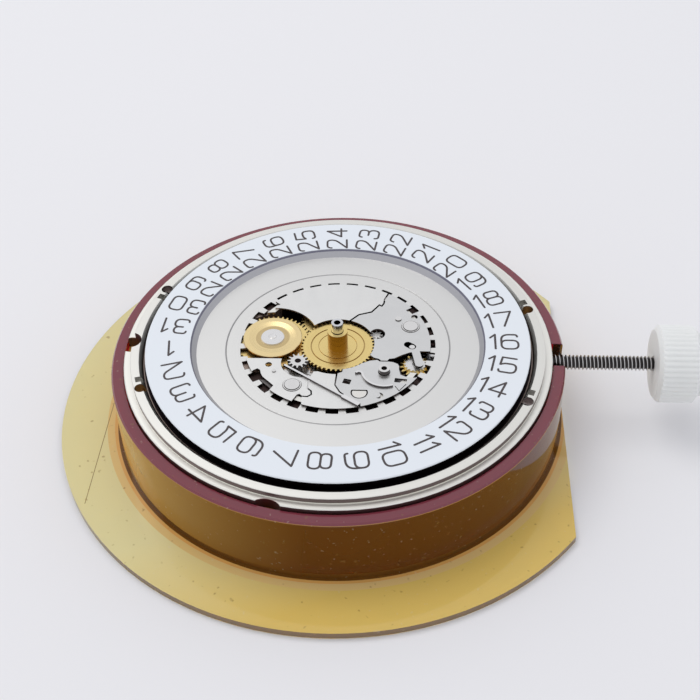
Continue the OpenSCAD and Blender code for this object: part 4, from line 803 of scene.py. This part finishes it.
# Barrel
# Gilt drum and lid round a blued spring, on a steel arbor. A ratchet wheel is screwed to it.
BARREL_AXIS = (5.686, -3.908)
dress(turned_metal("gilt_barrel", GILT, 0.22, 0.38, BARREL_AXIS), "barrel_drum", "barrel_lid")
dress(fine_metal("blued_spring", (0.10, 0.14, 0.30), 0.2, 0.35), "mainspring", "hairspring", "bridge_screws")
snailed_steel = turned_metal("snailed_steel", (0.62, 0.62, 0.63), 0.18, 0.34, BARREL_AXIS, 4000.0, 0.25)
dress(snailed_steel, "ratchet_wheel")
dress(steel, "barrel_arbor", "ratchet_screw", "crown_screw", "crown_wheel", "transfer_wheel", "click",
      "click_spring")

# Going train and escapement
# Gilt wheels on steel pinions, a steel escape wheel and fork, a gilt balance.
dress(fine_metal("gilt_train", GILT, 0.22, 0.38), "second_wheel", "fourth_wheel", "balance_wheel")
THIRD_AXIS = (2.28, 1.20)
THIRD_PINION = (0.0, 0.7, 4.5, 6.0, THIRD_AXIS)
THIRD_ZONES = (((0.90, 0.89, 0.87), *THIRD_PINION),)
# Its upright faces get a painted shade
third_metal = fine_metal("gilt_wheel_steel_pinion", GILT, 0.20, 0.34, side=(0.16, 0.12, 0.10),
                         zones=THIRD_ZONES)
# Painted light: the steel pinion that shows through the plate is made pale and less metallic, so that it
# stays bright in that deep, shaded opening
tree = third_metal.node_tree
shader = tree.nodes["Principled BSDF"]
feed(tree, shader.inputs["Metallic"], graded(tree, zone_mask(tree, *THIRD_PINION), to_low=1.0, to_high=0.15))
dress(third_metal, "third_wheel")
dress(steel, "escape_wheel", "pallet_fork", "balance_staff")

# Bridges
# Nickel-plated brass plates on the back, finished with rows of small graining spots.
bridge_metal, tree, shader = new_material("grained_bridges", (0.72, 0.715, 0.69), 1.0, 0.3)
spots = tree.nodes.new("ShaderNodeTexVoronoi")
spots.inputs["Scale"].default_value = 900.0
spots.inputs["Randomness"].default_value = 0.12
feed(tree, spots.inputs["Vector"], object_place(tree))
from_spot = spots.outputs["Distance"]
feed(tree, shader.inputs["Roughness"], graded(tree, from_spot, 0.0, 0.7, 0.22, 0.46))
spot_rings = worked_out(tree, "SINE", worked_out(tree, "MULTIPLY", from_spot, 60.0))
relief(tree, shader, spot_rings, 0.16, 0.012 * MM)
dress(bridge_metal, "balance_cock", "train_bridge", "barrel_bridge", "automatic_bridge", "pallet_bridge")

# Jewels
# Synthetic ruby rings pressed in the plate and the bridges.
ruby, tree, shader = new_material("ruby", (0.62, 0.03, 0.12), 0.0, 0.08)
shader.inputs["Transmission Weight"].default_value = 0.5
shader.inputs["IOR"].default_value = 1.76
dress(ruby, "jewels")

# Rotor
# A steel blade with a heavy rim, turned and brushed, on a ball bearing.
dress(turned_metal("rotor_metal", (0.60, 0.59, 0.57), 0.24, 0.42, fineness=5000.0), "rotor")
dress(steel, "rotor_bearing")

# Automatic winding wheels
# Gilt wheels between the rotor and the ratchet wheel.
dress(fine_metal("gilt_winding", GILT, 0.22, 0.38), "reverser_wheel_a", "reverser_wheel_b", "reduction_wheel")
